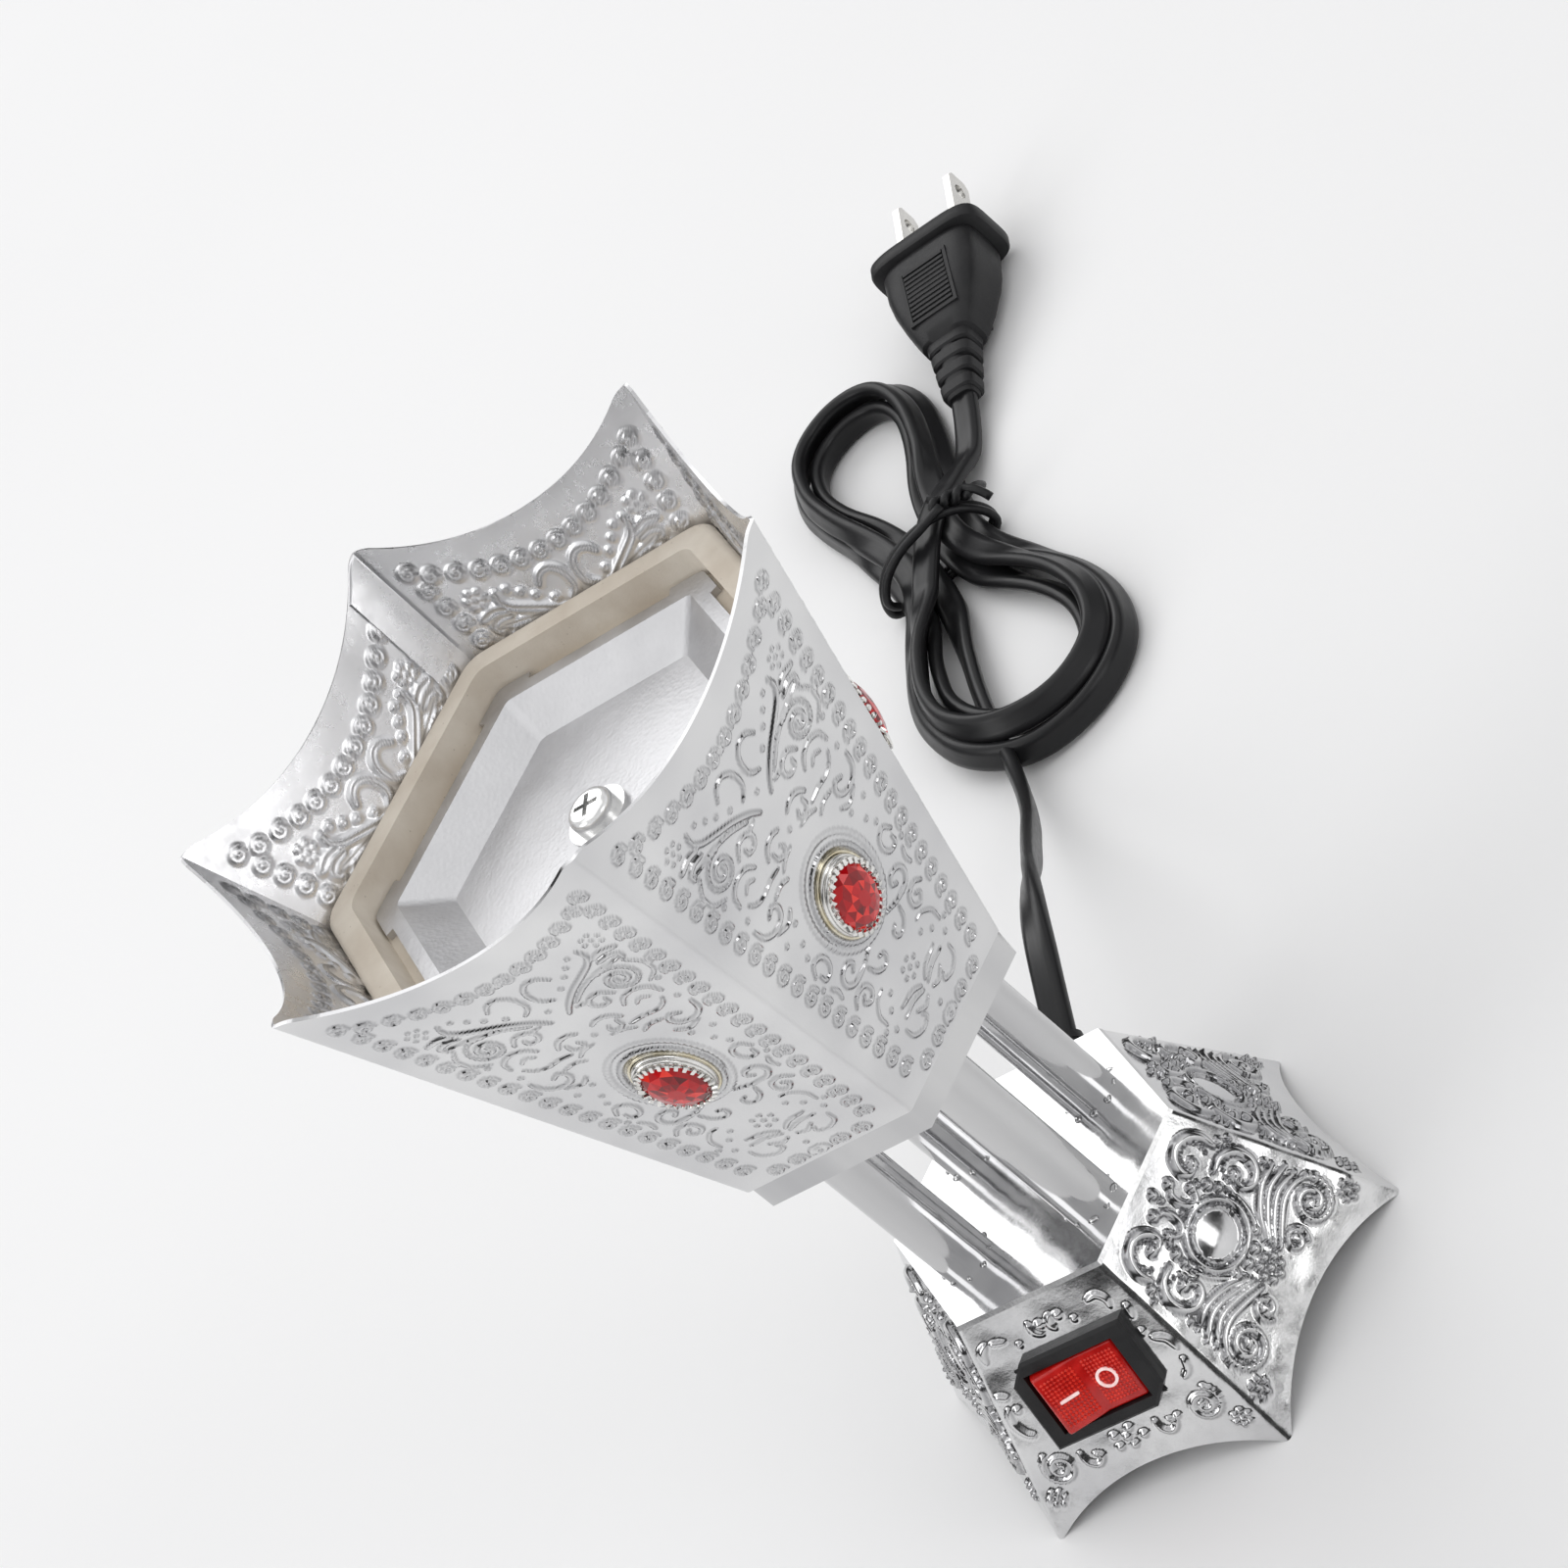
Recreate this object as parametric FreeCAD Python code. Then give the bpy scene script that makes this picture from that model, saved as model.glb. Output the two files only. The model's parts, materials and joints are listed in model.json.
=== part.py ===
import FreeCAD, Part
import os
from math import atan2, cos, pi, radians, sin, tan
from FreeCAD import Placement, Rotation, Vector

# Electric incense burner: a six-sided tapered bowl with a scalloped mouth stands on four tubes
# over a flared six-sided foot.  The foot holds a rocker switch at the front and the flat mains
# cord leaves it at the back.  Millimetres, +Z up, origin on the floor at the centre of the foot,
# the switch facing -Y.  A hexagon's "r" is always its corner radius; corners lie at 0, 60 ... deg.

# ---- driving dimensions ---------------------------------------------------------------------
SHEET = 0.5                      # bowl and foot sheet metal
FOOT_R, FOOT_TOP_R, FOOT_TOP_Z = 41.4, 25.4, 34.9
FOOT_ARC_R, FOOT_ARC_RISE = 37.9, 5.7      # scallop under each foot side
FIT_GAP = 0.1                    # clearance of parts that stand inside the sheet sides
TOP_PLATE_T = 0.8
COVER_Z, COVER_T, COVER_H = 7.0, 0.8, 5.0  # bottom cover of the foot
COVER_GAP = 0.08
BOWL_Z, BOWL_R = 79.0, 28.4
MOUTH_Z, MOUTH_R = 158.9, 52.2
MOUTH_ARC_R, MOUTH_ARC_S = 44.0, 74.3      # scallop radius, and its low point up the slope
SEAM_W, SEAM_Z = 6.0, 138.2                # inner overlap of the folded sheet at the 120 deg corner
PAN_Z, PAN_T, PAN_LIP_Z, PAN_LIP_T = 74.0, 1.0, 84.0, 0.6
TUBE_R, TUBE_WALL = 4.3, 0.6
TUBE_X, TUBE_Y = 11.3, 10.0
GEM_S = 32.5                     # gem centre, up the slope of a bowl side
BEZEL_A, BEZEL_B, BEZEL_H, BEZEL_WALL = 4.5, 6.5, 2.0, 0.7
GEM_A, GEM_B, GEM_SEAT, GEM_GIRDLE, GEM_TOP, GEM_TABLE = 3.6, 5.2, 0.6, 1.7, 2.9, 0.56
RIVET_R, RIVET_HEAD_R, RIVET_HEAD_T = 1.0, 1.9, 0.7
CUP_Z, CUP_RIM_Z, CUP_FLOOR_Z = 118.0, 137.4, 123.8
CUP_CORNER, CUP_RECESS_R, CUP_CAVITY_R, CUP_INNER_CORNER = 5.0, 38.9, 36.9, 3.0
CUP_RIM_ROUND = 1.2
TRAY_LIP_Z, TRAY_LIP_R, TRAY_T = 133.4, 38.4, 1.2
TRAY_WALL_R, TRAY_FLOOR_R, TRAY_FLOOR_Z = 34.3, 27.0, 129.2
TRAY_TAB = 6.0                   # lip left full width this far from each corner
MICA_R, MICA_T, CARD_T, RIBBON_W = 27.0, 0.8, 1.6, 1.6
SCREW_R, SCREW_HEAD_R, SCREW_HEAD_H, SCREW_END_Z = 2.0, 3.7, 2.4, 69.0
SCREW_HOLE_R = 2.1
CROSS_REACH, CROSS_HALF, CROSS_DEPTH = 2.1, 0.4, 1.3   # recess in the screw head
WASHER_R, WASHER_T, NUT_AF, NUT_H = 5.0, 0.8, 7.0, 3.2
WIRE_R, WIRE_HOLE_R = 0.9, 1.3
SWITCH_S = 21.3                  # switch centre, up the slope of the front foot side
BEZEL_L, BEZEL_W, BEZEL_T, BEZEL_CHAMFER = 21.0, 15.0, 1.8, 3.2
HOUSE_L, HOUSE_W, HOUSE_D = 18.8, 12.6, 11.5
WELL_L, WELL_W, WELL_FLOOR = 15.7, 10.8, 1.7
ROCKER_R, ROCKER_W, ROCKER_PIVOT, ROCKER_TILT = 7.6, 10.2, -1.0, 10.0
ROCKER_VALLEY_Z, ROCKER_STUB_R, ROCKER_STUB_END = 1.45, 1.0, 6.2
STUB_HOLE_R = 1.05
CONTACT_PIVOT, CONTACT_TILT, CONTACT_L, CONTACT_W, CONTACT_T = -7.9, 7.0, 11.0, 4.0, 0.6
TAB_PITCH, TAB_W, TAB_T, TAB_END = 4.6, 4.8, 0.8, -18.5
SUPPLY_TOP, LOAD_TOP, LAMP_TOP = -8.0, -9.05, -9.4     # upper ends of the three terminals
BUTTON_R, BUTTON_H = 0.9, 0.35
SLEEVE_HALF_T, SLEEVE_HALF_W, SLEEVE_TOP, SLEEVE_SPARE = 1.1, 2.9, -12.5, 1.2
BULB_R, BULB_HALF, BULB_Y, BULB_Z = 1.0, 3.0, 3.9, -5.9
BULB_LEAD_R, BULB_LEAD_X, BULB_LEAD_END = 0.25, 5.6, -9.8
OUTLET_Z = 25.0                  # height of the cord outlet in the rear foot side
OUTLET_A, OUTLET_B, OUTLET_HEAD = 4.4, 3.0, 6.5
CORD_D = 5.5                     # width of the flat two-core cord
HANK_X, HANK_Y, HANK_H = -48.0, 190.0, 11.0
HANK_TURN = 25.5                 # degrees: the hank's long axis, turned from -Y towards +X
TIE_W, TIE_T, TIE_HALF = 2.4, 1.6, 10.55           # half the width inside the tie
BLADE_W, BLADE_T, BLADE_L, BLADE_GAP, BLADE_HOLE_R = 6.35, 1.5, 16.5, 12.7, 1.6
BLADE_ROOT, BLADE_CHAMFER, BLADE_HOLE_FROM_TIP = 8.0, 1.2, 4.0
GRIP_Z, GRIP_END_Z, FLANGE_Z, FLANGE_T = 15.0, 30.5, 38.5, 4.0

# Cord route from the outlet to the hank, and from the hank to the plug: points chosen by hand.
LEAD_ROUTE = [(0, 32.0, 27.4), (0, 43.0, 31.8), (-2, 55.5, 32.6), (-5.5, 67.5, 28.0),
              (-11, 80, 18.5), (-17.5, 94, 9.5), (-24.5, 108, 3.8), (-30.5, 122.5, 2.8),
              (-34.6, 137.2, 3.4)]
TAIL_ROUTE = [(-44.3, 206.7, 3.2), (-41.9, 219.6, 3.2), (-43.0, 231.5, 4.3)]
PLUG_POINT, PLUG_AXIS = Vector(-43.0, 231.5, 4.3), Vector(-0.092, 0.990, 0.106)
ARC_REACH = 0.45                 # share of a run that the arc at its end takes up

# Wiring inside the foot: points between the ends of each wire.
SPLICE_X, SPLICE_Y, SPLICE_Z, SPLICE_R, SPLICE_L = -12.5, 0.0, 19.0, 2.6, 9.0
LIVE_BENDS = [(TUBE_X, -TUBE_Y, 27), (11, -1.5, 15), (6.5, -1.0, 10.2)]
NEUTRAL_BENDS = [(-TUBE_X, -TUBE_Y, 25.5), (-12.4, -6.5, 19.6), (-12.5, SPLICE_Y, 19.9)]
LAMP_BENDS = [(-5.4, -3.6, 10.2), (-10.2, -5.2, 14.4), (-13.4, SPLICE_Y, 18.0)]
CORE_LIVE_BENDS = [(1.3, 16.2, 21.1), (1.3, 10.0, 18.6), (0.4, 1.0, 10.6)]
CORE_NEUTRAL_ROUTE = [(-1.3, 16.2, 21.1), (-1.3, 11.0, 19.0), (-5.0, 1.0, 17.5),
                      (-8.2, -5.0, 17.4), (-11.4, SPLICE_Y, 18.0)]
LAMP_LEAD_R = 0.8

# Outline of the hank seen from above: distance along its axis from the tie, distance across it.
HANK_OUTLINE = [(-62, 1), (-57, -9), (-46, -13.5), (-28, -13), (-8, -10.5), (8, -10.5),
                (24, -15), (39, -18.5), (52, -13), (60, -2), (59, 11), (48, 19), (32, 19.5),
                (16, 15), (5, 10.5), (-8, 10), (-26, 10.5), (-44, 12), (-56, 10)]

COS30 = cos(radians(30))
UP = Vector(0, 0, 1)
SIDES = [-90, -30, 30, 90, 150, 210]      # outward directions of the six sides


# ---- building blocks ------------------------------------------------------------------------
def hex_wire(r, z, corner=0.0):
    """Closed hexagon at height z; corner is the radius that rounds its corners."""
    points = [Vector(r * cos(radians(60 * i)), r * sin(radians(60 * i)), z) for i in range(6)]
    if corner == 0:
        return Part.makePolygon(points + [points[0]])
    edges = []
    trim = corner * tan(radians(30))
    for i in range(6):
        here, before, after = points[i], points[i - 1], points[(i + 1) % 6]
        start = here + (before - here).normalize() * trim
        end = here + (after - here).normalize() * trim
        middle = here * (1 - (corner / COS30 - corner) / here.sub(Vector(0, 0, z)).Length)
        middle.z = z
        following = after + (here - after).normalize() * trim
        edges += [Part.Arc(start, middle, end).toShape(), Part.makeLine(end, following)]
    return Part.Wire(edges)


def hex_frustum(r0, z0, r1, z1, corner=0.0):
    return Part.makeLoft([hex_wire(r0, z0, corner), hex_wire(r1, z1, corner)], True, True)


def lerp(a, b, f):
    return a + (b - a) * f


def side_frame(direction, r0, z0, r1, z1):
    """Placement on a side's outer face: X along the lower edge, Y up the slope, Z outward."""
    out = Vector(cos(radians(direction)), sin(radians(direction)), 0)
    low, high = out * (r0 * COS30) + UP * z0, out * (r1 * COS30) + UP * z1
    along = UP.cross(out)
    slope = (high - low).normalize()
    return Placement(low, Rotation(along, slope, along.cross(slope), "ZXY"))


def foot_side(direction):
    return side_frame(direction, FOOT_R, 0, FOOT_TOP_R, FOOT_TOP_Z)


def bowl_side(direction):
    return side_frame(direction, BOWL_R, BOWL_Z, MOUTH_R, MOUTH_Z)


def placed(shape, placement):
    """The shape moved from a side's own frame into the burner's frame."""
    copy = shape.copy()
    copy.Placement = placement.multiply(copy.Placement)
    return copy


def box(x0, y0, z0, x1, y1, z1):
    return Part.makeBox(x1 - x0, y1 - y0, z1 - z0, Vector(x0, y0, z0))


def cylinder(r, start, end):
    start, end = Vector(*start), Vector(*end)
    return Part.makeCylinder(r, (end - start).Length, start, end - start)


def oval(a, b, z0, z1):
    """Upright elliptical cylinder with half widths a along X and b along Y."""
    turned = Rotation(UP, 90) if b > a else Rotation()
    ellipse = Part.Ellipse(Vector(), max(a, b), min(a, b)).toShape()
    ellipse.Placement = Placement(Vector(0, 0, z0), turned)
    return Part.Face(Part.Wire(ellipse)).extrude(Vector(0, 0, z1 - z0))


def group(shapes):
    return Part.makeCompound(shapes)


def route_wire(points, label=None):
    """Straight runs joined by tangent arcs, each arc as large as its two runs allow."""
    points = [Vector(*p) for p in points]
    edges, start, radii = [], points[0], []
    for before, here, after in zip(points, points[1:], points[2:]):
        into, out = (here - before), (after - here)
        half = into.getAngle(out) / 2
        reach = ARC_REACH * min(into.Length, out.Length)
        radii.append(reach / tan(half))
        first, last = here - into.normalize() * reach, here + out.normalize() * reach
        toward = ((first + last) * 0.5 - here).normalize()
        middle = here + toward * (radii[-1] / cos(half) - radii[-1])
        edges += [Part.LineSegment(start, first).toShape(), Part.Arc(first, middle, last).toShape()]
        start = last
    edges.append(Part.LineSegment(start, points[-1]).toShape())
    wire = Part.Wire(edges)
    if label:
        print(label, "length", round(wire.Length, 1), "radii", [round(r, 1) for r in radii])
    return wire


def tube_along(points, r, label=None):
    wire = route_wire(points, label)
    start, heading = Vector(*points[0]), Vector(*points[1]) - Vector(*points[0])
    profile = Part.Wire(Part.Circle(start, heading, r).toShape())
    solid = wire.makePipeShell([profile], True, False)
    if label:
        print(label, "volume ratio", round(solid.Volume / (pi * r * r * wire.Length), 4))
    return solid


# ---- foot -----------------------------------------------------------------------------------
FOOT_SLOPE = atan2((FOOT_R - FOOT_TOP_R) * COS30, FOOT_TOP_Z)
FOOT_WALL = SHEET / cos(FOOT_SLOPE) / COS30          # wall measured along a corner radius
BOWL_SLOPE = atan2((MOUTH_R - BOWL_R) * COS30, MOUTH_Z - BOWL_Z)
BOWL_WALL = SHEET / cos(BOWL_SLOPE) / COS30


def foot_r(z):
    return lerp(FOOT_R, FOOT_TOP_R, z / FOOT_TOP_Z)


def bowl_r(z):
    return lerp(BOWL_R, MOUTH_R, (z - BOWL_Z) / (MOUTH_Z - BOWL_Z))


def make_base_skirt():
    top = FOOT_TOP_Z - TOP_PLATE_T
    skirt = hex_frustum(FOOT_R, 0, foot_r(top), top)
    skirt = skirt.cut(hex_frustum(FOOT_R - FOOT_WALL, 0, foot_r(top) - FOOT_WALL, top))
    for direction in SIDES:
        centre = FOOT_ARC_RISE - FOOT_ARC_R
        arch = cylinder(FOOT_ARC_R, (0, centre, -5), (0, centre, 4))
        skirt = skirt.cut(placed(arch, foot_side(direction)))
    window = box(-HOUSE_L / 2, SWITCH_S - HOUSE_W / 2, -3, HOUSE_L / 2, SWITCH_S + HOUSE_W / 2, 3)
    skirt = skirt.cut(placed(window, foot_side(-90)))
    return skirt.cut(placed(outlet_hole(), outlet_frame()))


def make_base_top_plate():
    plate = hex_frustum(foot_r(FOOT_TOP_Z - TOP_PLATE_T), FOOT_TOP_Z - TOP_PLATE_T,
                        FOOT_TOP_R, FOOT_TOP_Z)
    for x in (-TUBE_X, TUBE_X):
        plate = plate.cut(cylinder(WIRE_HOLE_R, (x, -TUBE_Y, 30), (x, -TUBE_Y, 40)))
    return plate


def make_base_bottom_cover():
    gap = FOOT_WALL + COVER_GAP
    low, high = COVER_Z, COVER_Z + COVER_H
    outer = hex_frustum(foot_r(low) - gap, low, foot_r(high) - gap, high)
    gap += COVER_T
    inner = hex_frustum(foot_r(low + COVER_T) - gap, low + COVER_T, foot_r(high) - gap, high)
    return outer.cut(inner)


# ---- columns and pan ------------------------------------------------------------------------
def make_column(x, y):
    start, end = (x, y, FOOT_TOP_Z), (x, y, PAN_Z)
    return cylinder(TUBE_R, start, end).cut(cylinder(TUBE_R - TUBE_WALL, start, end))


def make_bowl_pan():
    """Shallow tray whose ledge carries the bowl's lower edge and whose lip stands inside it."""
    lip0, lip1 = bowl_r(BOWL_Z) - BOWL_WALL, bowl_r(PAN_LIP_Z) - BOWL_WALL
    pan = hex_frustum(BOWL_R, PAN_Z, BOWL_R, BOWL_Z)
    pan = pan.fuse(hex_frustum(lip0, BOWL_Z, lip1, PAN_LIP_Z))
    inside0, inside1 = lip0 - PAN_LIP_T, lip1 - PAN_LIP_T
    pan = pan.cut(hex_frustum(inside0, PAN_Z + PAN_T, inside0, BOWL_Z))
    pan = pan.cut(hex_frustum(inside0, BOWL_Z, inside1, PAN_LIP_Z))
    pan = pan.cut(cylinder(SCREW_HOLE_R, (0, 0, 70), (0, 0, 78)))
    for x in (-TUBE_X, TUBE_X):
        pan = pan.cut(cylinder(WIRE_HOLE_R, (x, -TUBE_Y, 70), (x, -TUBE_Y, 78)))
    return pan.removeSplitter()


# ---- bowl -----------------------------------------------------------------------------------
def make_bowl_shell():
    shell = hex_frustum(BOWL_R, BOWL_Z, MOUTH_R, MOUTH_Z)
    shell = shell.cut(hex_frustum(BOWL_R - BOWL_WALL, BOWL_Z, MOUTH_R - BOWL_WALL, MOUTH_Z))
    shell = shell.fuse(make_seam())
    for direction in SIDES:
        centre = MOUTH_ARC_S + MOUTH_ARC_R
        scallop = cylinder(MOUTH_ARC_R, (0, centre, -5), (0, centre, 5))
        shell = shell.cut(placed(scallop, bowl_side(direction)))
        hole = cylinder(RIVET_R, (0, GEM_S, -3), (0, GEM_S, 3))
        shell = shell.cut(placed(hole, bowl_side(direction)))
    return shell


def make_seam():
    """Overlap strip where the sheet's two ends meet, inside the 120 degree corner."""
    rise = cos(BOWL_SLOPE)
    low, high = (SEAM_Z - BOWL_Z) / rise, (MOUTH_Z - 1 - BOWL_Z) / rise
    edge0, edge1 = -bowl_r(SEAM_Z) / 2, -bowl_r(MOUTH_Z - 1) / 2
    inset = SHEET * 1.2
    outline = [(edge0 + inset, low), (edge0 + SEAM_W, low), (edge1 + SEAM_W, high), (edge1 + inset, high)]
    points = [Vector(x, y, -2 * SHEET) for x, y in outline]
    strip = Part.Face(Part.makePolygon(points + [points[0]])).extrude(Vector(0, 0, SHEET))
    return placed(strip, bowl_side(150))


def make_gem_bezel(direction):
    """Serrated oval setting with a rivet stem clinched inside the bowl."""
    bezel = oval(BEZEL_A, BEZEL_B, 0, BEZEL_H)
    bezel = bezel.cut(oval(BEZEL_A - BEZEL_WALL, BEZEL_B - BEZEL_WALL, GEM_SEAT, BEZEL_H))
    bezel = bezel.fuse(cylinder(RIVET_R - 0.01, (0, 0, -SHEET - RIVET_HEAD_T), (0, 0, 0.2)))
    bezel = bezel.fuse(cylinder(RIVET_HEAD_R, (0, 0, -SHEET - RIVET_HEAD_T), (0, 0, -SHEET)))
    bezel.translate(Vector(0, GEM_S, 0))
    return placed(bezel, bowl_side(direction))


def make_gem(direction, facets=12):
    """Cut oval stone: straight girdle, sloping crown facets and a flat table."""
    def ring(scale, z):
        angles = [radians(360 * (i + 0.5) / facets) for i in range(facets)]
        points = [Vector(GEM_A * scale * cos(t), GEM_S + GEM_B * scale * sin(t), z) for t in angles]
        return Part.makePolygon(points + [points[0]])

    girdle = Part.makeLoft([ring(1, GEM_SEAT), ring(1, GEM_GIRDLE)], True, True)
    crown = Part.makeLoft([ring(1, GEM_GIRDLE), ring(GEM_TABLE, GEM_TOP)], True, True)
    return placed(girdle.fuse(crown), bowl_side(direction))


# ---- heater, cup and tray -------------------------------------------------------------------
def make_ceramic_cup():
    gap = BOWL_WALL + FIT_GAP
    cup = hex_frustum(bowl_r(CUP_Z) - gap, CUP_Z, bowl_r(CUP_RIM_Z) - gap, CUP_RIM_Z, CUP_CORNER)
    rim = [e for e in cup.Edges if e.BoundBox.ZMin > CUP_RIM_Z - 0.01]
    cup = cup.makeFillet(CUP_RIM_ROUND, rim)
    ledge = TRAY_LIP_Z - TRAY_T
    recess = hex_frustum(CUP_RECESS_R, ledge, CUP_RECESS_R + 0.6, CUP_RIM_Z + 0.01,
                         CUP_INNER_CORNER)
    cavity = hex_frustum(CUP_CAVITY_R, CUP_FLOOR_Z, CUP_CAVITY_R, ledge, CUP_INNER_CORNER)
    cup = cup.cut(recess).cut(cavity)
    return drill_heater_holes(cup)


def drill_heater_holes(shape):
    """Centre hole for the long screw and the two holes for the heater's leads."""
    shape = shape.cut(cylinder(SCREW_HOLE_R, (0, 0, 110), (0, 0, 135)))
    for x in (-TUBE_X, TUBE_X):
        shape = shape.cut(cylinder(WIRE_HOLE_R, (x, -TUBE_Y, 110), (x, -TUBE_Y, 124.6)))
    return shape


def make_mica(z, with_leads):
    sheet = hex_frustum(MICA_R, z, MICA_R, z + MICA_T)
    if with_leads:
        return drill_heater_holes(sheet)
    return sheet.cut(cylinder(SCREW_HOLE_R, (0, 0, 110), (0, 0, 135)))


CARD_Z = CUP_FLOOR_Z + MICA_T
RIBBON_T, RIBBON_PITCH, RIBBON_TURNS = 0.4, 2.9, 14
CARD_LENGTH, CARD_HALF = 43.0, 17.0


def ribbon_places():
    """Positions along X of the resistance ribbon's turns, clear of the centre screw."""
    turns = [RIBBON_PITCH * (i + 0.5) for i in range(RIBBON_TURNS // 2)]
    return [x for x in sorted([-t for t in turns] + turns) if abs(x) > 2.8]


def make_heater_card():
    half, low = CARD_LENGTH / 2, CARD_Z + RIBBON_T
    card = box(-half, -CARD_HALF, low, half, CARD_HALF, low + CARD_T)
    return card.cut(cylinder(SCREW_HOLE_R, (0, 0, 110), (0, 0, 135)))


def make_heater_ribbon():
    """Flat resistance ribbon wound round the card: one closed loop per turn."""
    loops = []
    for x in ribbon_places():
        outer = box(x - RIBBON_W / 2, -CARD_HALF - RIBBON_T, CARD_Z,
                    x + RIBBON_W / 2, CARD_HALF + RIBBON_T, CARD_Z + CARD_T + 2 * RIBBON_T)
        inner = box(x - RIBBON_W, -CARD_HALF, CARD_Z + RIBBON_T,
                    x + RIBBON_W, CARD_HALF, CARD_Z + RIBBON_T + CARD_T)
        loops.append(outer.cut(inner))
    return group(loops)


def make_incense_tray():
    ledge, under = TRAY_LIP_Z - TRAY_T, TRAY_FLOOR_Z - TRAY_T
    lip = hex_frustum(TRAY_LIP_R, ledge, TRAY_LIP_R, TRAY_LIP_Z, 2.0)
    reach = TRAY_LIP_R / 2 - TRAY_TAB
    for direction in SIDES:
        notch = box(-reach, -2, TRAY_LIP_R * COS30 - 1.3, reach, 2, TRAY_LIP_R * COS30 + 3)
        frame = side_frame(direction, 0.001, TRAY_LIP_Z, 0.001, TRAY_LIP_Z + 10)
        lip = lip.cut(placed(notch, frame))
    tray = lip.fuse(hex_frustum(TRAY_FLOOR_R + 1.6, under, TRAY_WALL_R + 1.6, ledge, 1.5))
    tray = tray.cut(hex_frustum(TRAY_FLOOR_R, TRAY_FLOOR_Z, TRAY_WALL_R, TRAY_LIP_Z, 1.5))
    return tray.cut(cylinder(SCREW_HOLE_R, (0, 0, 120), (0, 0, 135)))


HEAD_Z = TRAY_FLOOR_Z + WASHER_T


def make_tray_screw():
    """Long pan-head screw with a cross recess; it clamps tray, heater and cup to the pan."""
    screw = cylinder(SCREW_HEAD_R, (0, 0, HEAD_Z), (0, 0, HEAD_Z + SCREW_HEAD_H))
    rim = [e for e in screw.Edges if e.BoundBox.ZMin > HEAD_Z + SCREW_HEAD_H - 0.01]
    screw = screw.makeFillet(1.3, rim)
    depth = HEAD_Z + SCREW_HEAD_H - CROSS_DEPTH
    for half_x, half_y in ((CROSS_REACH, CROSS_HALF), (CROSS_HALF, CROSS_REACH)):
        screw = screw.cut(box(-half_x, -half_y, depth, half_x, half_y, HEAD_Z + 4))
    return screw.fuse(cylinder(SCREW_R, (0, 0, SCREW_END_Z), (0, 0, HEAD_Z)))


def make_washer(z):
    ring = cylinder(WASHER_R, (0, 0, z), (0, 0, z + WASHER_T))
    return ring.cut(cylinder(SCREW_HOLE_R, (0, 0, z - 1), (0, 0, z + 2)))


def make_tray_nut():
    top = PAN_Z - WASHER_T
    nut = hex_frustum(NUT_AF / 2 / COS30, top - NUT_H, NUT_AF / 2 / COS30, top)
    return nut.cut(cylinder(SCREW_R, (0, 0, top - 5), (0, 0, top + 1)))


# ---- switch, in the frame of the front side: X right, Y up the slope, Z outward ---------------
def in_switch(shape):
    shape = shape.copy()
    shape.translate(Vector(0, SWITCH_S, 0))
    return placed(shape, foot_side(-90))


def make_switch_housing():
    a, b, c = BEZEL_L / 2, BEZEL_W / 2, BEZEL_CHAMFER
    outline = [(-a, -b), (a - c, -b), (a, -b + c), (a, b), (-a + c, b), (-a, b - c)]
    points = [Vector(x, y, 0) for x, y in outline]
    bezel = Part.Face(Part.makePolygon(points + [points[0]])).extrude(Vector(0, 0, BEZEL_T))
    front = [e for e in bezel.Edges if e.BoundBox.ZMin > BEZEL_T - 0.01]
    bezel = bezel.makeChamfer(0.5, front)
    house = box(-HOUSE_L / 2, -HOUSE_W / 2, -HOUSE_D, HOUSE_L / 2, HOUSE_W / 2, 0)
    house = bezel.fuse(house)
    house = house.cut(box(-WELL_L / 2, -WELL_W / 2, -HOUSE_D + WELL_FLOOR, WELL_L / 2, WELL_W / 2, 3))
    house = house.cut(cylinder(STUB_HOLE_R, (0, -7, ROCKER_PIVOT), (0, 7, ROCKER_PIVOT)))
    for x in (-TAB_PITCH, 0, TAB_PITCH):
        slot = box(x - TAB_T / 2, -TAB_W / 2, -HOUSE_D - 1, x + TAB_T / 2, TAB_W / 2, -HOUSE_D + 3)
        house = house.cut(slot)
    return in_switch(house)


def at_rest_tilt(shape, pivot_z, degrees):
    shape = shape.copy()
    shape.rotate(Vector(0, 0, pivot_z), Vector(0, 1, 0), degrees)
    return in_switch(shape)


def make_switch_rocker():
    """Two shallow faces meeting in a valley, round ends centred on the pivot, two pivot stubs."""
    def on_end(degrees):
        angle = radians(degrees)
        return Vector(ROCKER_R * cos(angle), -ROCKER_W / 2, ROCKER_PIVOT + ROCKER_R * sin(angle))

    def mirrored(point):
        return Vector(-point.x, point.y, point.z)

    y = -ROCKER_W / 2
    valley, foot = Vector(0, y, ROCKER_VALLEY_Z), Vector(2.6, y, -3.2)
    high, mid, low = on_end(28), on_end(6), on_end(-15)
    edges = [Part.makeLine(valley, high), Part.Arc(high, mid, low).toShape(),
             Part.makeLine(low, foot), Part.makeLine(foot, mirrored(foot)),
             Part.makeLine(mirrored(foot), mirrored(low)),
             Part.Arc(mirrored(low), mirrored(mid), mirrored(high)).toShape(),
             Part.makeLine(mirrored(high), valley)]
    rocker = Part.Face(Part.Wire(edges)).extrude(Vector(0, ROCKER_W, 0))
    stubs = cylinder(ROCKER_STUB_R, (0, -ROCKER_STUB_END, ROCKER_PIVOT), (0, ROCKER_STUB_END, ROCKER_PIVOT))
    rocker = rocker.fuse(stubs)
    rocker = rocker.cut(cylinder(1.7, (0, 0, -4), (0, 0, 0.3)))
    return at_rest_tilt(rocker, ROCKER_PIVOT, ROCKER_TILT)


def make_switch_plunger():
    pin = cylinder(1.62, (0, 0, -5.6), (0, 0, -3.0)).fuse(Part.makeSphere(1.2, Vector(0, 0, -5.5)))
    return at_rest_tilt(pin, ROCKER_PIVOT, ROCKER_TILT)


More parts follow.
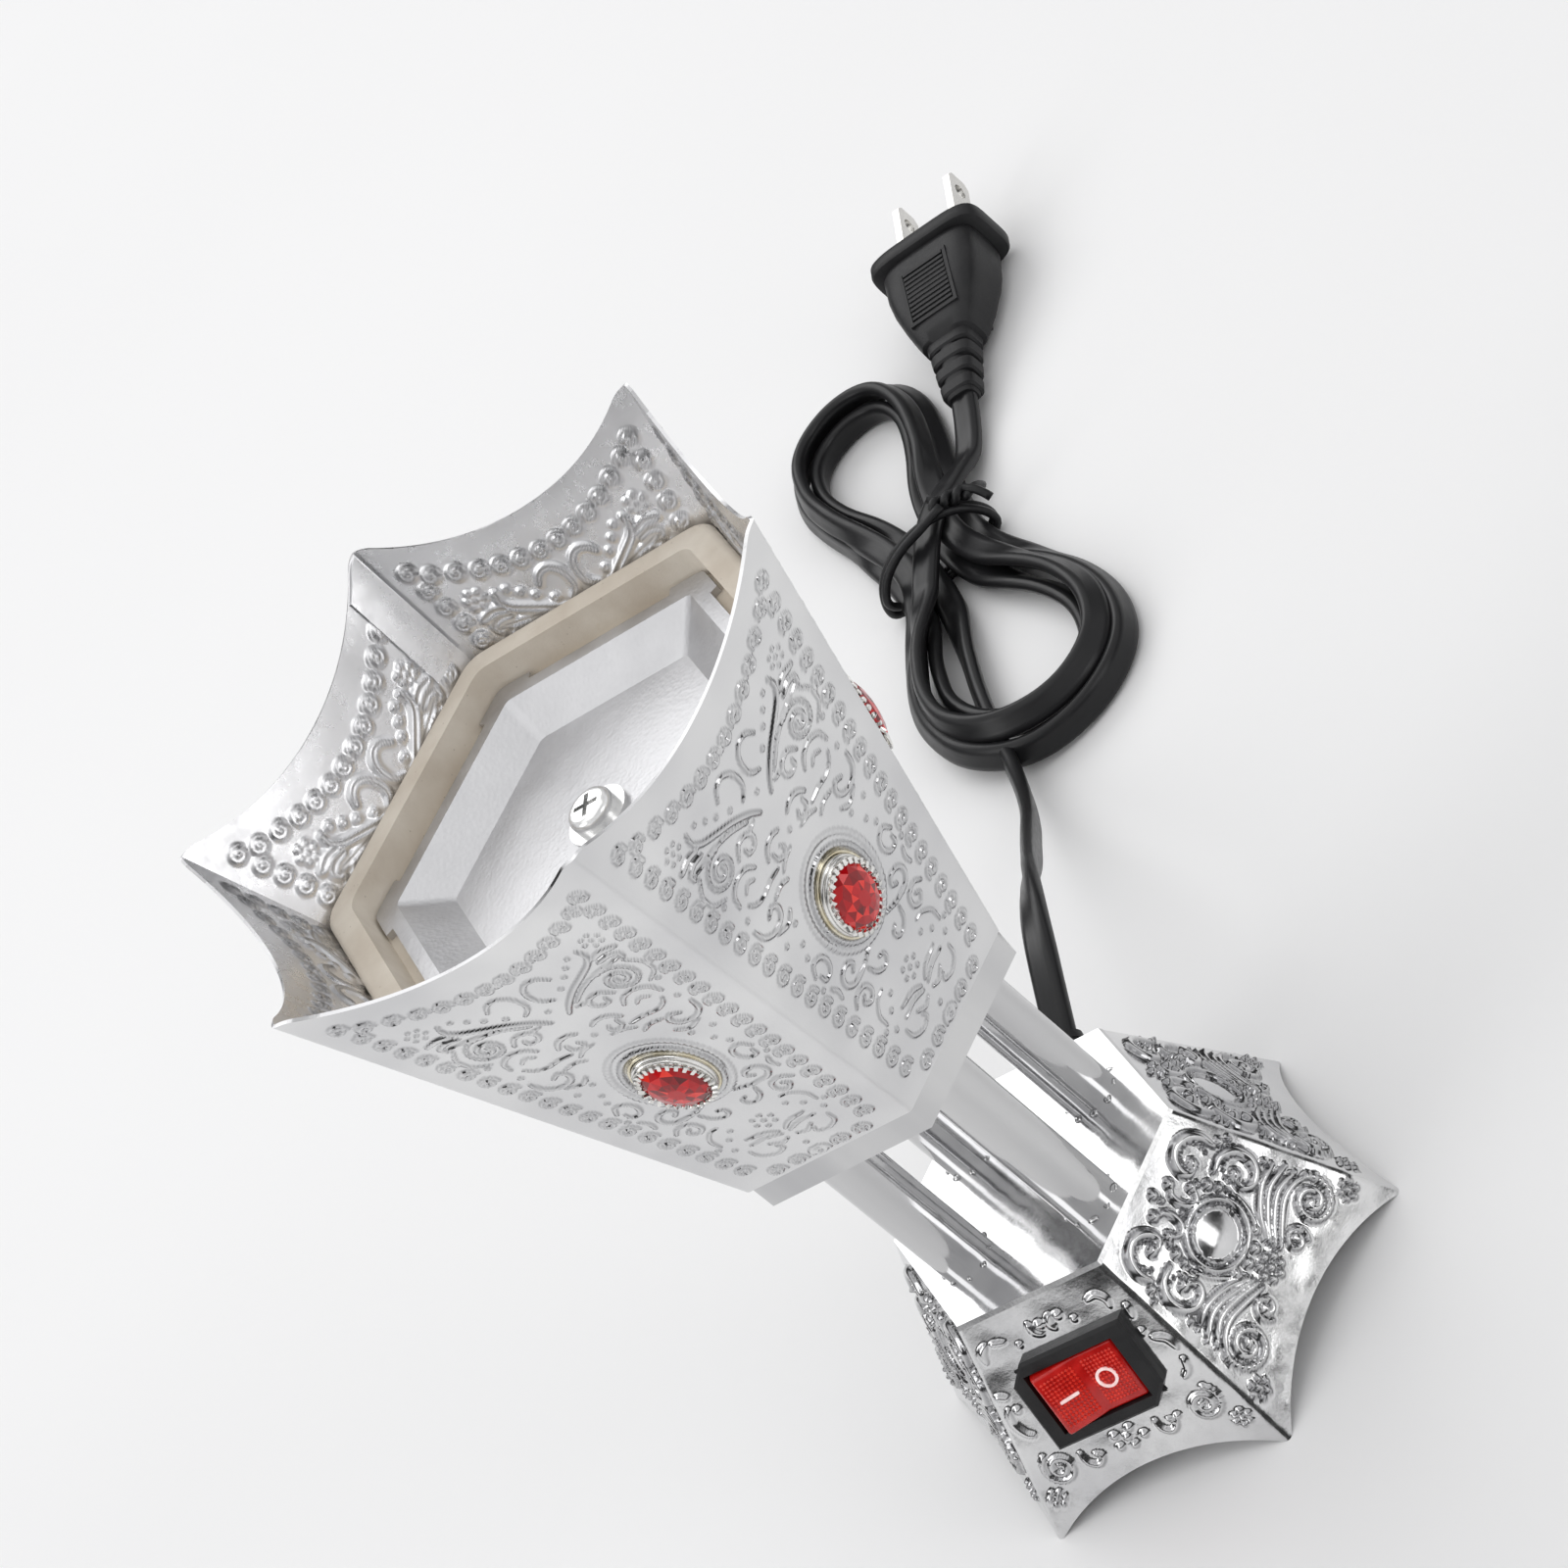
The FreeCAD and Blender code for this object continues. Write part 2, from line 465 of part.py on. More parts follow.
def make_switch_spring():
    """Compression spring between the plunger and the rocker, its coils drawn as a helix."""
    pitch, height, radius, wire_r = 0.75, 2.6, 1.15, 0.16
    helix = Part.makeHelix(pitch, height, radius)
    profile = Part.Wire(Part.Circle(Vector(radius, 0, 0), Vector(0, 1, 0), wire_r).toShape())
    spring = Part.Wire(helix.Edges).makePipeShell([profile], True, True)
    spring.translate(Vector(0, 0, -2.75))
    return at_rest_tilt(spring, ROCKER_PIVOT, ROCKER_TILT)


def make_switch_contact():
    """Rocking contact bar on the middle terminal, with a button under its right end."""
    z = CONTACT_PIVOT
    bar = box(-CONTACT_L / 2, -CONTACT_W / 2, z, CONTACT_L / 2, CONTACT_W / 2, z + CONTACT_T)
    return at_rest_tilt(bar, CONTACT_PIVOT, -CONTACT_TILT)


def make_terminal(x, top, button):
    tab = box(x - TAB_T / 2, -TAB_W / 2, TAB_END, x + TAB_T / 2, TAB_W / 2, top)
    if button:
        tab = tab.fuse(cylinder(BUTTON_R, (x, 0, top), (x, 0, top + BUTTON_H)))
    return in_switch(tab)


def make_switch_lamp():
    bulb = cylinder(BULB_R, (-BULB_HALF, BULB_Y, BULB_Z), (BULB_HALF, BULB_Y, BULB_Z))
    return in_switch(bulb)


def make_lamp_leads():
    leads = []
    for side in (-1, 1):
        bend = [(side * BULB_HALF, BULB_Y, BULB_Z), (side * BULB_LEAD_X, BULB_Y, BULB_Z),
                (side * BULB_LEAD_X, BULB_Y, BULB_LEAD_END)]
        leads.append(in_switch(tube_along(bend, BULB_LEAD_R)))
    return group(leads)


def make_receptacles():
    sleeves = []
    for x in (-TAB_PITCH, 0, TAB_PITCH):
        sleeve = box(x - SLEEVE_HALF_T, -SLEEVE_HALF_W, TAB_END - SLEEVE_SPARE,
                     x + SLEEVE_HALF_T, SLEEVE_HALF_W, SLEEVE_TOP)
        tab = box(x - TAB_T / 2, -TAB_W / 2, TAB_END, x + TAB_T / 2, TAB_W / 2, SLEEVE_TOP + 0.5)
        sleeves.append(in_switch(sleeve.cut(tab)))
    return group(sleeves)


def receptacle_end(x):
    """Where a wire leaves the back of a receptacle, in the burner's frame."""
    point = foot_side(-90).multVec(Vector(x, SWITCH_S, TAB_END - SLEEVE_SPARE))
    return (point.x, point.y, point.z)


# ---- wiring inside the foot and up the front columns ------------------------------------------
def make_heater_lead_live():
    route = [(TUBE_X, -TUBE_Y, CARD_Z)] + LIVE_BENDS + [receptacle_end(TAB_PITCH)]
    return tube_along(route, WIRE_R)


def make_heater_lead_neutral():
    return tube_along([(-TUBE_X, -TUBE_Y, CARD_Z)] + NEUTRAL_BENDS, WIRE_R)


def make_lamp_lead():
    return tube_along([receptacle_end(-TAB_PITCH)] + LAMP_BENDS, LAMP_LEAD_R)


def make_core_live():
    return tube_along(CORE_LIVE_BENDS + [receptacle_end(0)], WIRE_R)


def make_core_neutral():
    return tube_along(CORE_NEUTRAL_ROUTE, WIRE_R)


def make_wire_splice():
    start = (SPLICE_X, SPLICE_Y, SPLICE_Z)
    cap = cylinder(SPLICE_R, start, (SPLICE_X, SPLICE_Y + SPLICE_L, SPLICE_Z))
    end = [e for e in cap.Edges if e.BoundBox.YMin > SPLICE_Y + SPLICE_L - 0.01]
    return cap.makeFillet(1.2, end)


# ---- cord, tie and plug -----------------------------------------------------------------------
def outlet_frame():
    """On the rear side's face at the cord outlet: X sideways, Y up the slope, Z outward."""
    side = foot_side(90)
    rise = OUTLET_Z / cos(FOOT_SLOPE)
    return Placement(side.multVec(Vector(0, rise, 0)), side.Rotation)


def outlet_hole():
    return oval(OUTLET_A - 0.6, OUTLET_B - 0.4, -3, 3)


def make_strain_relief():
    """Oval bushing gripped in the rear side: ribbed tapering head outside, collar inside."""
    head = Part.makeLoft([ellipse_wire(OUTLET_A + 0.8, OUTLET_B + 0.9, 0),
                          ellipse_wire(3.4, 2.9, OUTLET_HEAD)], True, True)
    for z in (1.5, 3.0, 4.5):
        ring = oval(7, 6, z, z + 0.55).cut(oval(3.55, 2.95, z - 1, z + 1))
        head = head.cut(ring)
    neck = oval(OUTLET_A - 0.62, OUTLET_B - 0.42, -SHEET, 0)
    collar = oval(OUTLET_A + 0.3, OUTLET_B + 0.3, -SHEET - 2.2, -SHEET)
    tail = oval(3.4, 2.4, -10.5, -SHEET - 2.2)
    return placed(head.fuse(neck).fuse(collar).fuse(tail), outlet_frame())


def ellipse_wire(a, b, z):
    return Part.Wire(Part.Ellipse(Vector(0, 0, z), a, b).toShape())


def hank_placement():
    return Placement(Vector(HANK_X, HANK_Y, 0), Rotation(UP, -90 + HANK_TURN))


def make_cord_hank():
    """Outer shape of the tied bundle: two lobes and a waist, grooved below for the tie."""
    points = [Vector(x, y, 0) for x, y in HANK_OUTLINE]
    body = Part.Face(Part.makePolygon(points + [points[0]])).extrude(Vector(0, 0, HANK_H))
    groove = TIE_W / 2 + 0.3
    body = body.cut(box(-groove, -30, -1, groove, 30, TIE_T + 0.05))
    return placed(body, hank_placement())


def make_cord_tie():
    top = HANK_H + 0.05
    reach = TIE_HALF + TIE_T
    band = box(-TIE_W / 2, -reach, 0, TIE_W / 2, reach, top + TIE_T)
    band = band.cut(box(-TIE_W, -TIE_HALF, TIE_T, TIE_W, TIE_HALF, top))
    return placed(band, hank_placement())


def plug_frame():
    """Origin where the cord enters the plug, Z along the plug, X level, across the blades."""
    axis = Vector(PLUG_AXIS).normalize()
    level = axis.cross(UP).normalize()
    return Placement(PLUG_POINT, Rotation(level, axis.cross(level), axis, "ZXY"))


def rounded_slab(w0, h0, z0, w1, h1, z1, corner):
    """Loft between two rectangles with chamfered corners."""
    def outline(w, h, z):
        a, b, c = w / 2, h / 2, corner
        xy = [(a - c, -b), (a, -b + c), (a, b - c), (a - c, b),
              (-a + c, b), (-a, b - c), (-a, -b + c), (-a + c, -b)]
        points = [Vector(x, y, z) for x, y in xy]
        return Part.makePolygon(points + [points[0]])

    return Part.makeLoft([outline(w0, h0, z0), outline(w1, h1, z1)], True, True)


def make_plug_body():
    """Two-pin moulded plug: slotted strain relief, tapering grip with ribs, wide flange."""
    relief = rounded_slab(7.4, 5.6, 0, 9.6, 7.6, GRIP_Z, 1.4)
    for i in range(3):
        z = 2.6 + 4.2 * i
        for x0, x1 in ((-6, -1.6), (1.6, 6)):
            relief = relief.cut(box(x0, -6, z, x1, 6, z + 1.5))
    grip = rounded_slab(12.5, 9.4, GRIP_Z, 21.0, 13.6, GRIP_END_Z, 2.4)
    grip = grip.fuse(rounded_slab(21.0, 13.6, GRIP_END_Z, 21.6, 14.0, FLANGE_Z, 2.4))
    for side in (-1, 1):
        for i in range(8):
            z = 20.0 + 1.8 * i
            depth = lerp(5.4, 6.5, i / 7)
            near, far = sorted((side * (depth - 0.1), side * 9))
            grip = grip.cut(box(-5, near, z, 5, far, z + 0.8))
    flange = rounded_slab(26.0, 16.0, FLANGE_Z, 26.0, 16.0, FLANGE_Z + FLANGE_T, 4.0)
    body = relief.fuse(grip).fuse(flange)
    top = FLANGE_Z + FLANGE_T
    for x in (-BLADE_GAP / 2, BLADE_GAP / 2):
        slot = box(x - BLADE_T / 2, -BLADE_W / 2, top - BLADE_ROOT,
                   x + BLADE_T / 2, BLADE_W / 2, top + 1)
        body = body.cut(slot)
    return placed(body, plug_frame())


def make_plug_blade(x):
    base = FLANGE_Z + FLANGE_T
    tip = base + BLADE_L
    blade = box(x - BLADE_T / 2, -BLADE_W / 2, base - BLADE_ROOT, x + BLADE_T / 2, BLADE_W / 2, tip)
    corners = [e for e in blade.Edges if e.BoundBox.ZMin > tip - 0.01 and e.BoundBox.XLength > 1]
    blade = blade.makeChamfer(BLADE_CHAMFER, corners)
    hole_z = tip - BLADE_HOLE_FROM_TIP
    blade = blade.cut(cylinder(BLADE_HOLE_R, (x - 3, 0, hole_z), (x + 3, 0, hole_z)))
    return placed(blade, plug_frame())


# ---- every node, in the order it would be fitted ------------------------------------------------
def build():
    nodes = {
        "base_skirt": make_base_skirt(),
        "base_top_plate": make_base_top_plate(),
        "base_bottom_cover": make_base_bottom_cover(),
        "bowl_pan": make_bowl_pan(),
        "bowl_shell": make_bowl_shell(),
        "ceramic_cup": make_ceramic_cup(),
        "mica_sheet_lower": make_mica(CUP_FLOOR_Z, True),
        "mica_sheet_upper": make_mica(TRAY_FLOOR_Z - TRAY_T - MICA_T, False),
        "heater_card": make_heater_card(),
        "heater_ribbon": make_heater_ribbon(),
        "incense_tray": make_incense_tray(),
        "tray_washer": make_washer(TRAY_FLOOR_Z),
        "tray_screw": make_tray_screw(),
        "pan_washer": make_washer(PAN_Z - WASHER_T),
        "tray_nut": make_tray_nut(),
        "switch_housing": make_switch_housing(),
        "switch_rocker": make_switch_rocker(),
        "switch_plunger": make_switch_plunger(),
        "switch_spring": make_switch_spring(),
        "switch_contact": make_switch_contact(),
        "terminal_supply": make_terminal(0, SUPPLY_TOP, False),
        "terminal_load": make_terminal(TAB_PITCH, LOAD_TOP, True),
        "terminal_lamp": make_terminal(-TAB_PITCH, LAMP_TOP, False),
        "switch_lamp": make_switch_lamp(),
        "lamp_leads": make_lamp_leads(),
        "wire_receptacles": make_receptacles(),
        "heater_lead_live": make_heater_lead_live(),
        "heater_lead_neutral": make_heater_lead_neutral(),
        "lamp_lead": make_lamp_lead(),
        "core_live": make_core_live(),
        "core_neutral": make_core_neutral(),
        "wire_splice": make_wire_splice(),
        "strain_relief": make_strain_relief(),
        "cord_lead": tube_along(LEAD_ROUTE, CORD_D / 2, "lead"),
        "cord_hank": make_cord_hank(),
        "cord_tie": make_cord_tie(),
        "cord_tail": tube_along(TAIL_ROUTE, CORD_D / 2, "tail"),
        "plug_body": make_plug_body(),
        "plug_blade_left": make_plug_blade(-BLADE_GAP / 2),
        "plug_blade_right": make_plug_blade(BLADE_GAP / 2),
    }
    places = (("front_left", -1, -1), ("front_right", 1, -1), ("rear_right", 1, 1), ("rear_left", -1, 1))
    for name, x, y in places:
        nodes["column_" + name] = make_column(x * TUBE_X, y * TUBE_Y)
    for number, direction in enumerate(SIDES, 1):
        nodes["gem_bezel_%d" % number] = make_gem_bezel(direction)
        nodes["gem_%d" % number] = make_gem(direction)
    return nodes


def main():
    os.makedirs("parts", exist_ok=True)
    for name, shape in build().items():
        if not shape.isValid():
            print("invalid shape:", name)
        shape.exportStep("parts/%s.step" % name)


main()
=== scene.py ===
import json
import math

import bmesh
import bpy
import numpy as np
from mathutils import Matrix, Vector


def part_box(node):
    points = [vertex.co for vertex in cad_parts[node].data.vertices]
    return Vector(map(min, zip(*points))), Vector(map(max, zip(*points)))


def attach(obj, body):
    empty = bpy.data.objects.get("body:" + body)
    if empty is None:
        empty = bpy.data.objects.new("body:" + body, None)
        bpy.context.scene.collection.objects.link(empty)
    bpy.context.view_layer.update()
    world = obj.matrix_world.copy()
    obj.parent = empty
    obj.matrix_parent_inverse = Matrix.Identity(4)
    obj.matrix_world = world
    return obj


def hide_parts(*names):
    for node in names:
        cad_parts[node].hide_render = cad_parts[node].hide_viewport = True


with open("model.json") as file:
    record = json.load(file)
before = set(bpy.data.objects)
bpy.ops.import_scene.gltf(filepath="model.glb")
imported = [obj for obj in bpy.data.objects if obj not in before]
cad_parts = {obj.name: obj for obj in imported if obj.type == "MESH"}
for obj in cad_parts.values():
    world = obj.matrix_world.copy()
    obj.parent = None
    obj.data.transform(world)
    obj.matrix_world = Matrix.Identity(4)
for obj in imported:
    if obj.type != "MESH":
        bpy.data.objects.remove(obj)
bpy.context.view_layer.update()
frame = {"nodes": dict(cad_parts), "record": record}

# Electric incense burner: pressed sheet bowl and foot, ceramic heater cup, red stones in
# serrated settings, lit rocker switch and a flat mains cord tied in a bundle behind the foot.
# Sizes are in millimetres, except for the camera, the lamps, the floor and what a comment gives
# in metres.  Along a pressed side they are x across it, s up its slope and z outward.

MM = 0.001
COS30 = math.cos(math.radians(30))
SIDE_ANGLES = [-90, -30, 30, 90, 150, 210]
SWITCH_ANGLE, CORD_ANGLE, SEAM_ANGLE = -90, 90, 150
SHEET = 0.5

skirt_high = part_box("base_skirt")[1]
plate_low, plate_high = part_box("base_top_plate")
shell_low, shell_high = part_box("bowl_shell")
pan_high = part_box("bowl_pan")[1]
plug_mount = [m for m in frame["record"]["mounts"] if m["name"] == "plug_blades"][0]
FINISHES = {}


# ---- small helpers ------------------------------------------------------------------------
def show(name, data):
    piece = bpy.data.objects.new(name, data)
    bpy.context.scene.collection.objects.link(piece)
    return piece


def plain_mesh(piece):
    """The plain mesh that a curve or a piece with modifiers makes; the piece is removed."""
    bpy.context.view_layer.update()
    now = piece.evaluated_get(bpy.context.evaluated_depsgraph_get())
    mesh = bpy.data.meshes.new_from_object(now)
    bpy.data.objects.remove(piece)
    return mesh


def smooth(mesh, sharp_angle):
    mesh.polygons.foreach_set("use_smooth", [True] * len(mesh.polygons))
    mesh.set_sharp_from_angle(angle=math.radians(sharp_angle))


def mesh_from(name, vertices, faces, sharp_angle=None):
    mesh = bpy.data.meshes.new(name)
    mesh.from_pydata([tuple(v) for v in vertices], [], [tuple(f) for f in faces])
    mesh.update()
    if sharp_angle is not None:
        smooth(mesh, sharp_angle)
    return mesh


def face_outwards(mesh, weld=False):
    bm = bmesh.new()
    bm.from_mesh(mesh)
    if weld:
        bmesh.ops.remove_doubles(bm, verts=bm.verts, dist=1e-7)
    bmesh.ops.recalc_face_normals(bm, faces=bm.faces)
    bm.to_mesh(mesh)
    bm.free()


def merged(name, meshes, sharp_angle):
    """Several plain meshes as one, each with its own material."""
    bm = bmesh.new()
    materials = []
    for mesh in meshes:
        start = len(bm.faces)
        bm.from_mesh(mesh)
        bm.faces.ensure_lookup_table()
        if mesh.materials[0] not in materials:
            materials.append(mesh.materials[0])
        for face in bm.faces[start:]:
            face.material_index = materials.index(mesh.materials[0])
    whole = bpy.data.meshes.new(name)
    bm.to_mesh(whole)
    bm.free()
    for material in materials:
        whole.materials.append(material)
    smooth(whole, sharp_angle)
    return whole


def fit(name, mesh, slot, replaces=(), finish=None, body="burner"):
    """Shows a finished mesh in place of the CAD nodes it replaces, which it hides, with its body
    and, when it has none, the material of its finish or else its slot.
    """
    piece = show(name, mesh)
    if not mesh.materials:
        mesh.materials.append(FINISHES[finish or slot])
    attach(piece, body)
    if replaces:
        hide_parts(*replaces)
    return piece


def turned(degrees, axis):
    return Matrix.Rotation(math.radians(degrees), 4, axis)


def moved(x, y, z):
    return Matrix.Translation((x, y, z))


def round_faces(rings, around):
    """Faces of a skin through rings of points, closed at both ends."""
    faces = []
    for k in range(rings - 1):
        for i in range(around):
            a, b = k * around + i, k * around + (i + 1) % around
            faces.append((a, b, b + around, a + around))
    last = (rings - 1) * around
    return faces + [tuple(reversed(range(around))), tuple(range(last, last + around))]


def superpoint(t, width, depth, power_x, power_y):
    """Point of a rounded rectangle at the turn t."""
    c, s = math.cos(t), math.sin(t)
    return (0.5 * width * math.copysign(abs(c) ** power_x, c),
            0.5 * depth * math.copysign(abs(s) ** power_y, s))


def loft(sections, around=32):
    """Closed skin through rounded rectangles: (height, width, depth, roundness)."""
    vertices = []
    for z, width, depth, roundness in sections:
        for i in range(around):
            t = 2 * math.pi * (i + 0.5) / around
            vertices.append((*superpoint(t, width, depth, 2 / roundness, 2 / roundness), z))
    return vertices, round_faces(len(sections), around)


class Side:
    """One sort of slanted side of a six-sided body, between two rings of corners."""

    def __init__(self, low_r, low_z, high_r, high_z):
        self.low_r, self.low_z, self.high_r, self.high_z = low_r, low_z, high_r, high_z
        self.slant = math.hypot((low_r - high_r) * COS30, high_z - low_z)

    def half_width(self, s):
        return (self.low_r + (self.high_r - self.low_r) * s / self.slant) / 2

    def frame(self, angle):
        """From a side's own millimetres to the burner's metres."""
        turn = math.radians(angle)
        out = Vector((math.cos(turn), math.sin(turn), 0))
        low = out * self.low_r * COS30 + Vector((0, 0, self.low_z))
        high = out * self.high_r * COS30 + Vector((0, 0, self.high_z))
        along = Vector((0, 0, 1)).cross(out)
        slope = (high - low).normalized()
        matrix = Matrix((along, slope, along.cross(slope))).transposed().to_4x4()
        matrix.translation = low
        return Matrix.Scale(MM, 4) @ matrix


FOOT = Side(skirt_high.x / MM, 0, plate_high.x / MM, plate_low.z / MM)
BOWL = Side(pan_high.x / MM, shell_low.z / MM, shell_high.x / MM, shell_high.z / MM)


# ---- camera -------------------------------------------------------------------------------
def make_camera():
    data = bpy.data.cameras.new("camera")
    data.lens = 108.07
    data.sensor_width = 36
    data.clip_start = 0.05
    data.clip_end = 20
    camera = show("camera", data)
    right = Vector((0.76452, 0.04946, -0.64270))
    up = Vector((0.42335, 0.71335, 0.55849))
    back = Vector((0.48609, -0.69906, 0.52443))
    camera.matrix_world = Matrix((right, up, back)).transposed().to_4x4()
    camera.location = (0.3315, -0.4421, 0.4508)
    bpy.context.scene.camera = camera


make_camera()


# ---- surface recipes ----------------------------------------------------------------------
COLOUR_A, COLOUR_B, COLOUR_OUT = 6, 7, 2


def feed(tree, socket, value):
    """Links a socket to another one, or gives it a plain value."""
    if isinstance(value, bpy.types.NodeSocket):
        tree.links.new(value, socket)
    elif socket.type == "RGBA":
        socket.default_value = (*value, 1)
    else:
        socket.default_value = value


def put(tree, kind, inputs=None, **settings):
    """Adds a node with its settings; each input is a plain value or another node's socket."""
    node = tree.nodes.new(kind)
    for key, value in settings.items():
        setattr(node, key, value)
    for key, value in (inputs or {}).items():
        feed(tree, node.inputs[key], value)
    return node


class Surface:
    """A material in the making.  Depths are in metres and scales are per metre."""

    def __init__(self, name, metallic=0.0, stretch=(1, 1, 1), uv=False, coat=0.0, ior=1.5,
                 specular=0.5):
        material = bpy.data.materials.new(name + "_finish")
        material.use_nodes = True
        FINISHES[name] = material
        self.tree = material.node_tree
        self.shader = self.tree.nodes["Principled BSDF"]
        self.give({"Metallic": metallic, "Coat Weight": coat, "Coat Roughness": 0.06, "IOR": ior,
                   "Specular IOR Level": specular})
        source = put(self.tree, "ShaderNodeTexCoord").outputs["UV" if uv else "Object"]
        mapping = put(self.tree, "ShaderNodeMapping", {"Vector": source, "Scale": stretch})
        self.vector = mapping.outputs["Vector"]

    def give(self, inputs):
        for key, value in inputs.items():
            feed(self.tree, self.shader.inputs[key], value)

    def noise(self, scale, detail=3.0, rough=0.55):
        inputs = {"Vector": self.vector, "Scale": scale, "Detail": detail, "Roughness": rough}
        return put(self.tree, "ShaderNodeTexNoise", inputs).outputs["Fac"]

    def cells(self, scale):
        inputs = {"Vector": self.vector, "Scale": scale}
        return put(self.tree, "ShaderNodeTexVoronoi", inputs).outputs["Distance"]

    def stored(self, name):
        return put(self.tree, "ShaderNodeAttribute", attribute_name=name).outputs["Fac"]

    def spread(self, value, low, high, to_low, to_high):
        inputs = {"Value": value, "From Min": low, "From Max": high, "To Min": to_low,
                  "To Max": to_high}
        return put(self.tree, "ShaderNodeMapRange", inputs).outputs["Result"]

    def blend(self, factor, first, second):
        inputs = {"Factor": factor, COLOUR_A: first, COLOUR_B: second}
        return put(self.tree, "ShaderNodeMix", inputs, data_type="RGBA").outputs[COLOUR_OUT]

    def tones(self, cloud, dark, light):
        return self.blend(self.spread(cloud, 0.3, 0.7, 0, 1), dark, light)

    def gloss(self, rough, fine, waver):
        """Roughness that also wavers a little with a fine grain."""
        inputs = {0: rough, 1: self.spread(fine, 0.3, 0.7, -waver, waver)}
        return put(self.tree, "ShaderNodeMath", inputs, operation="ADD").outputs[0]

    def dent(self, height, depth):
        """Adds a bump of that depth over what the shader's normal already has."""
        inputs = {"Height": height, "Distance": depth, "Strength": 1.0}
        normal = self.shader.inputs["Normal"]
        if normal.is_linked:
            inputs["Normal"] = normal.links[0].from_socket
        feed(self.tree, normal, put(self.tree, "ShaderNodeBump", inputs).outputs["Normal"])


def plain(name, dark, light, rough, metallic=0.0, patch=60, grain=1500, depth=0.00001,
          stretch=(1, 1, 1), wave=None, **look):
    """General finish: two tones in patches, roughness that varies with them, a fine grain."""
    surface = Surface(name, metallic, stretch, **look)
    patches, fine = surface.noise(patch), surface.noise(grain, 2.0)
    surface.give({"Base Color": surface.tones(patches, dark, light),
                  "Roughness": surface.gloss(surface.spread(patches, 0.25, 0.75, *rough),
                                             fine, 0.04)})
    if wave:
        wave_scale, wave_depth = wave
        surface.dent(surface.noise(wave_scale, 1.0), wave_depth)
    surface.dent(fine, depth)


def sheet(name, dark, light, rough, specks, wave):
    """Pressed silvered sheet: rolled grain, soft dishing, small specks and painted shade on the
    flanks of its pattern.
    """
    surface = Surface(name, 1.0)
    broad, middle, fine = surface.noise(45, 2.0), surface.noise(420), surface.noise(2600, 2.0)
    colour = surface.tones(broad, dark, light)
    spots = surface.spread(surface.cells(900), 0.02, 0.14, specks, 0.0)
    colour = surface.blend(spots, colour, (0.36, 0.36, 0.37))
    # Painted shade: the flanks of the pressed pattern are darkened to stand in for their shading.
    colour = surface.blend(surface.stored("painted_flank_shade"), colour, (0.16, 0.16, 0.17))
    surface.give({"Base Color": colour,
                  "Roughness": surface.gloss(surface.spread(middle, 0.3, 0.7, *rough),
                                             fine, 0.02)})
    for height, depth in ((broad, wave), (middle, 0.00002), (fine, 0.000004)):
        surface.dent(height, depth)


def ceramic(name):
    """Cream cast ceramic with dark pin specks, faint streaks and tan scuffs."""
    surface = Surface(name, specular=0.35)
    cloud = surface.noise(130, 4.0)
    colour = surface.tones(cloud, (0.60, 0.53, 0.44), (0.72, 0.66, 0.57))
    pins = surface.spread(surface.cells(620), 0.03, 0.10, 0.55, 0.0)
    colour = surface.blend(pins, colour, (0.30, 0.25, 0.19))
    scuffs = surface.spread(surface.noise(38, 5.0, 0.7), 0.66, 0.72, 0.0, 0.6)
    surface.give({"Base Color": surface.blend(scuffs, colour, (0.50, 0.38, 0.24)),
                  "Roughness": surface.spread(cloud, 0.3, 0.7, 0.62, 0.82)})
    surface.dent(cloud, 0.00015)
    surface.dent(surface.noise(1900, 2.0), 0.00004)


def cast_metal(name):
    """Die-cast aluminium, blasted: fine pits over soft flow clouds."""
    surface = Surface(name, 1.0)
    cloud = surface.noise(90, 4.0)
    surface.give({"Base Color": surface.tones(cloud, (0.52, 0.52, 0.53), (0.64, 0.64, 0.65)),
                  "Roughness": surface.spread(cloud, 0.3, 0.7, 0.34, 0.46)})
    surface.dent(cloud, 0.00012)
    surface.dent(surface.cells(1500), 0.00003)


def cut_glass(name):
    """Red glass stone under a clear glossy coat: painted light and shade give each facet its own
    depth of red, the brightest facets a painted glint, and the whole stone a faint painted glow.
    """
    surface = Surface(name, coat=0.25, ior=1.45)
    facet_light = surface.stored("painted_facet_light")
    colour = surface.blend(facet_light, (0.10, 0.0, 0.002), (0.62, 0.002, 0.006))
    # Painted glint: the brightest facets are turned to a bright red highlight.
    painted_glint = surface.spread(facet_light, 0.86, 1.0, 0.0, 0.55)
    colour = surface.blend(painted_glint, colour, (0.95, 0.07, 0.04))
    cloud = surface.noise(900, 2.0)
    # Painted glow: the stone gives off a faint light in its own red.
    surface.give({"Base Color": colour, "Emission Color": colour, "Emission Strength": 0.16,
                  "Roughness": surface.spread(cloud, 0.3, 0.7, 0.05, 0.12)})
    surface.dent(cloud, 0.00001)


def lit(name, dark, light, glow):
    """Clear moulding, with a faint painted glow of its own colour standing in for the light that
    passes through it.
    """
    surface = Surface(name, coat=0.2)
    cloud = surface.noise(500, 2.0)
    colour = surface.tones(cloud, dark, light)
    surface.give({"Base Color": colour, "Emission Color": colour, "Emission Strength": glow,
                  "Roughness": surface.spread(cloud, 0.3, 0.7, 0.16, 0.26)})
    surface.dent(surface.noise(2500, 2.0), 0.000005)


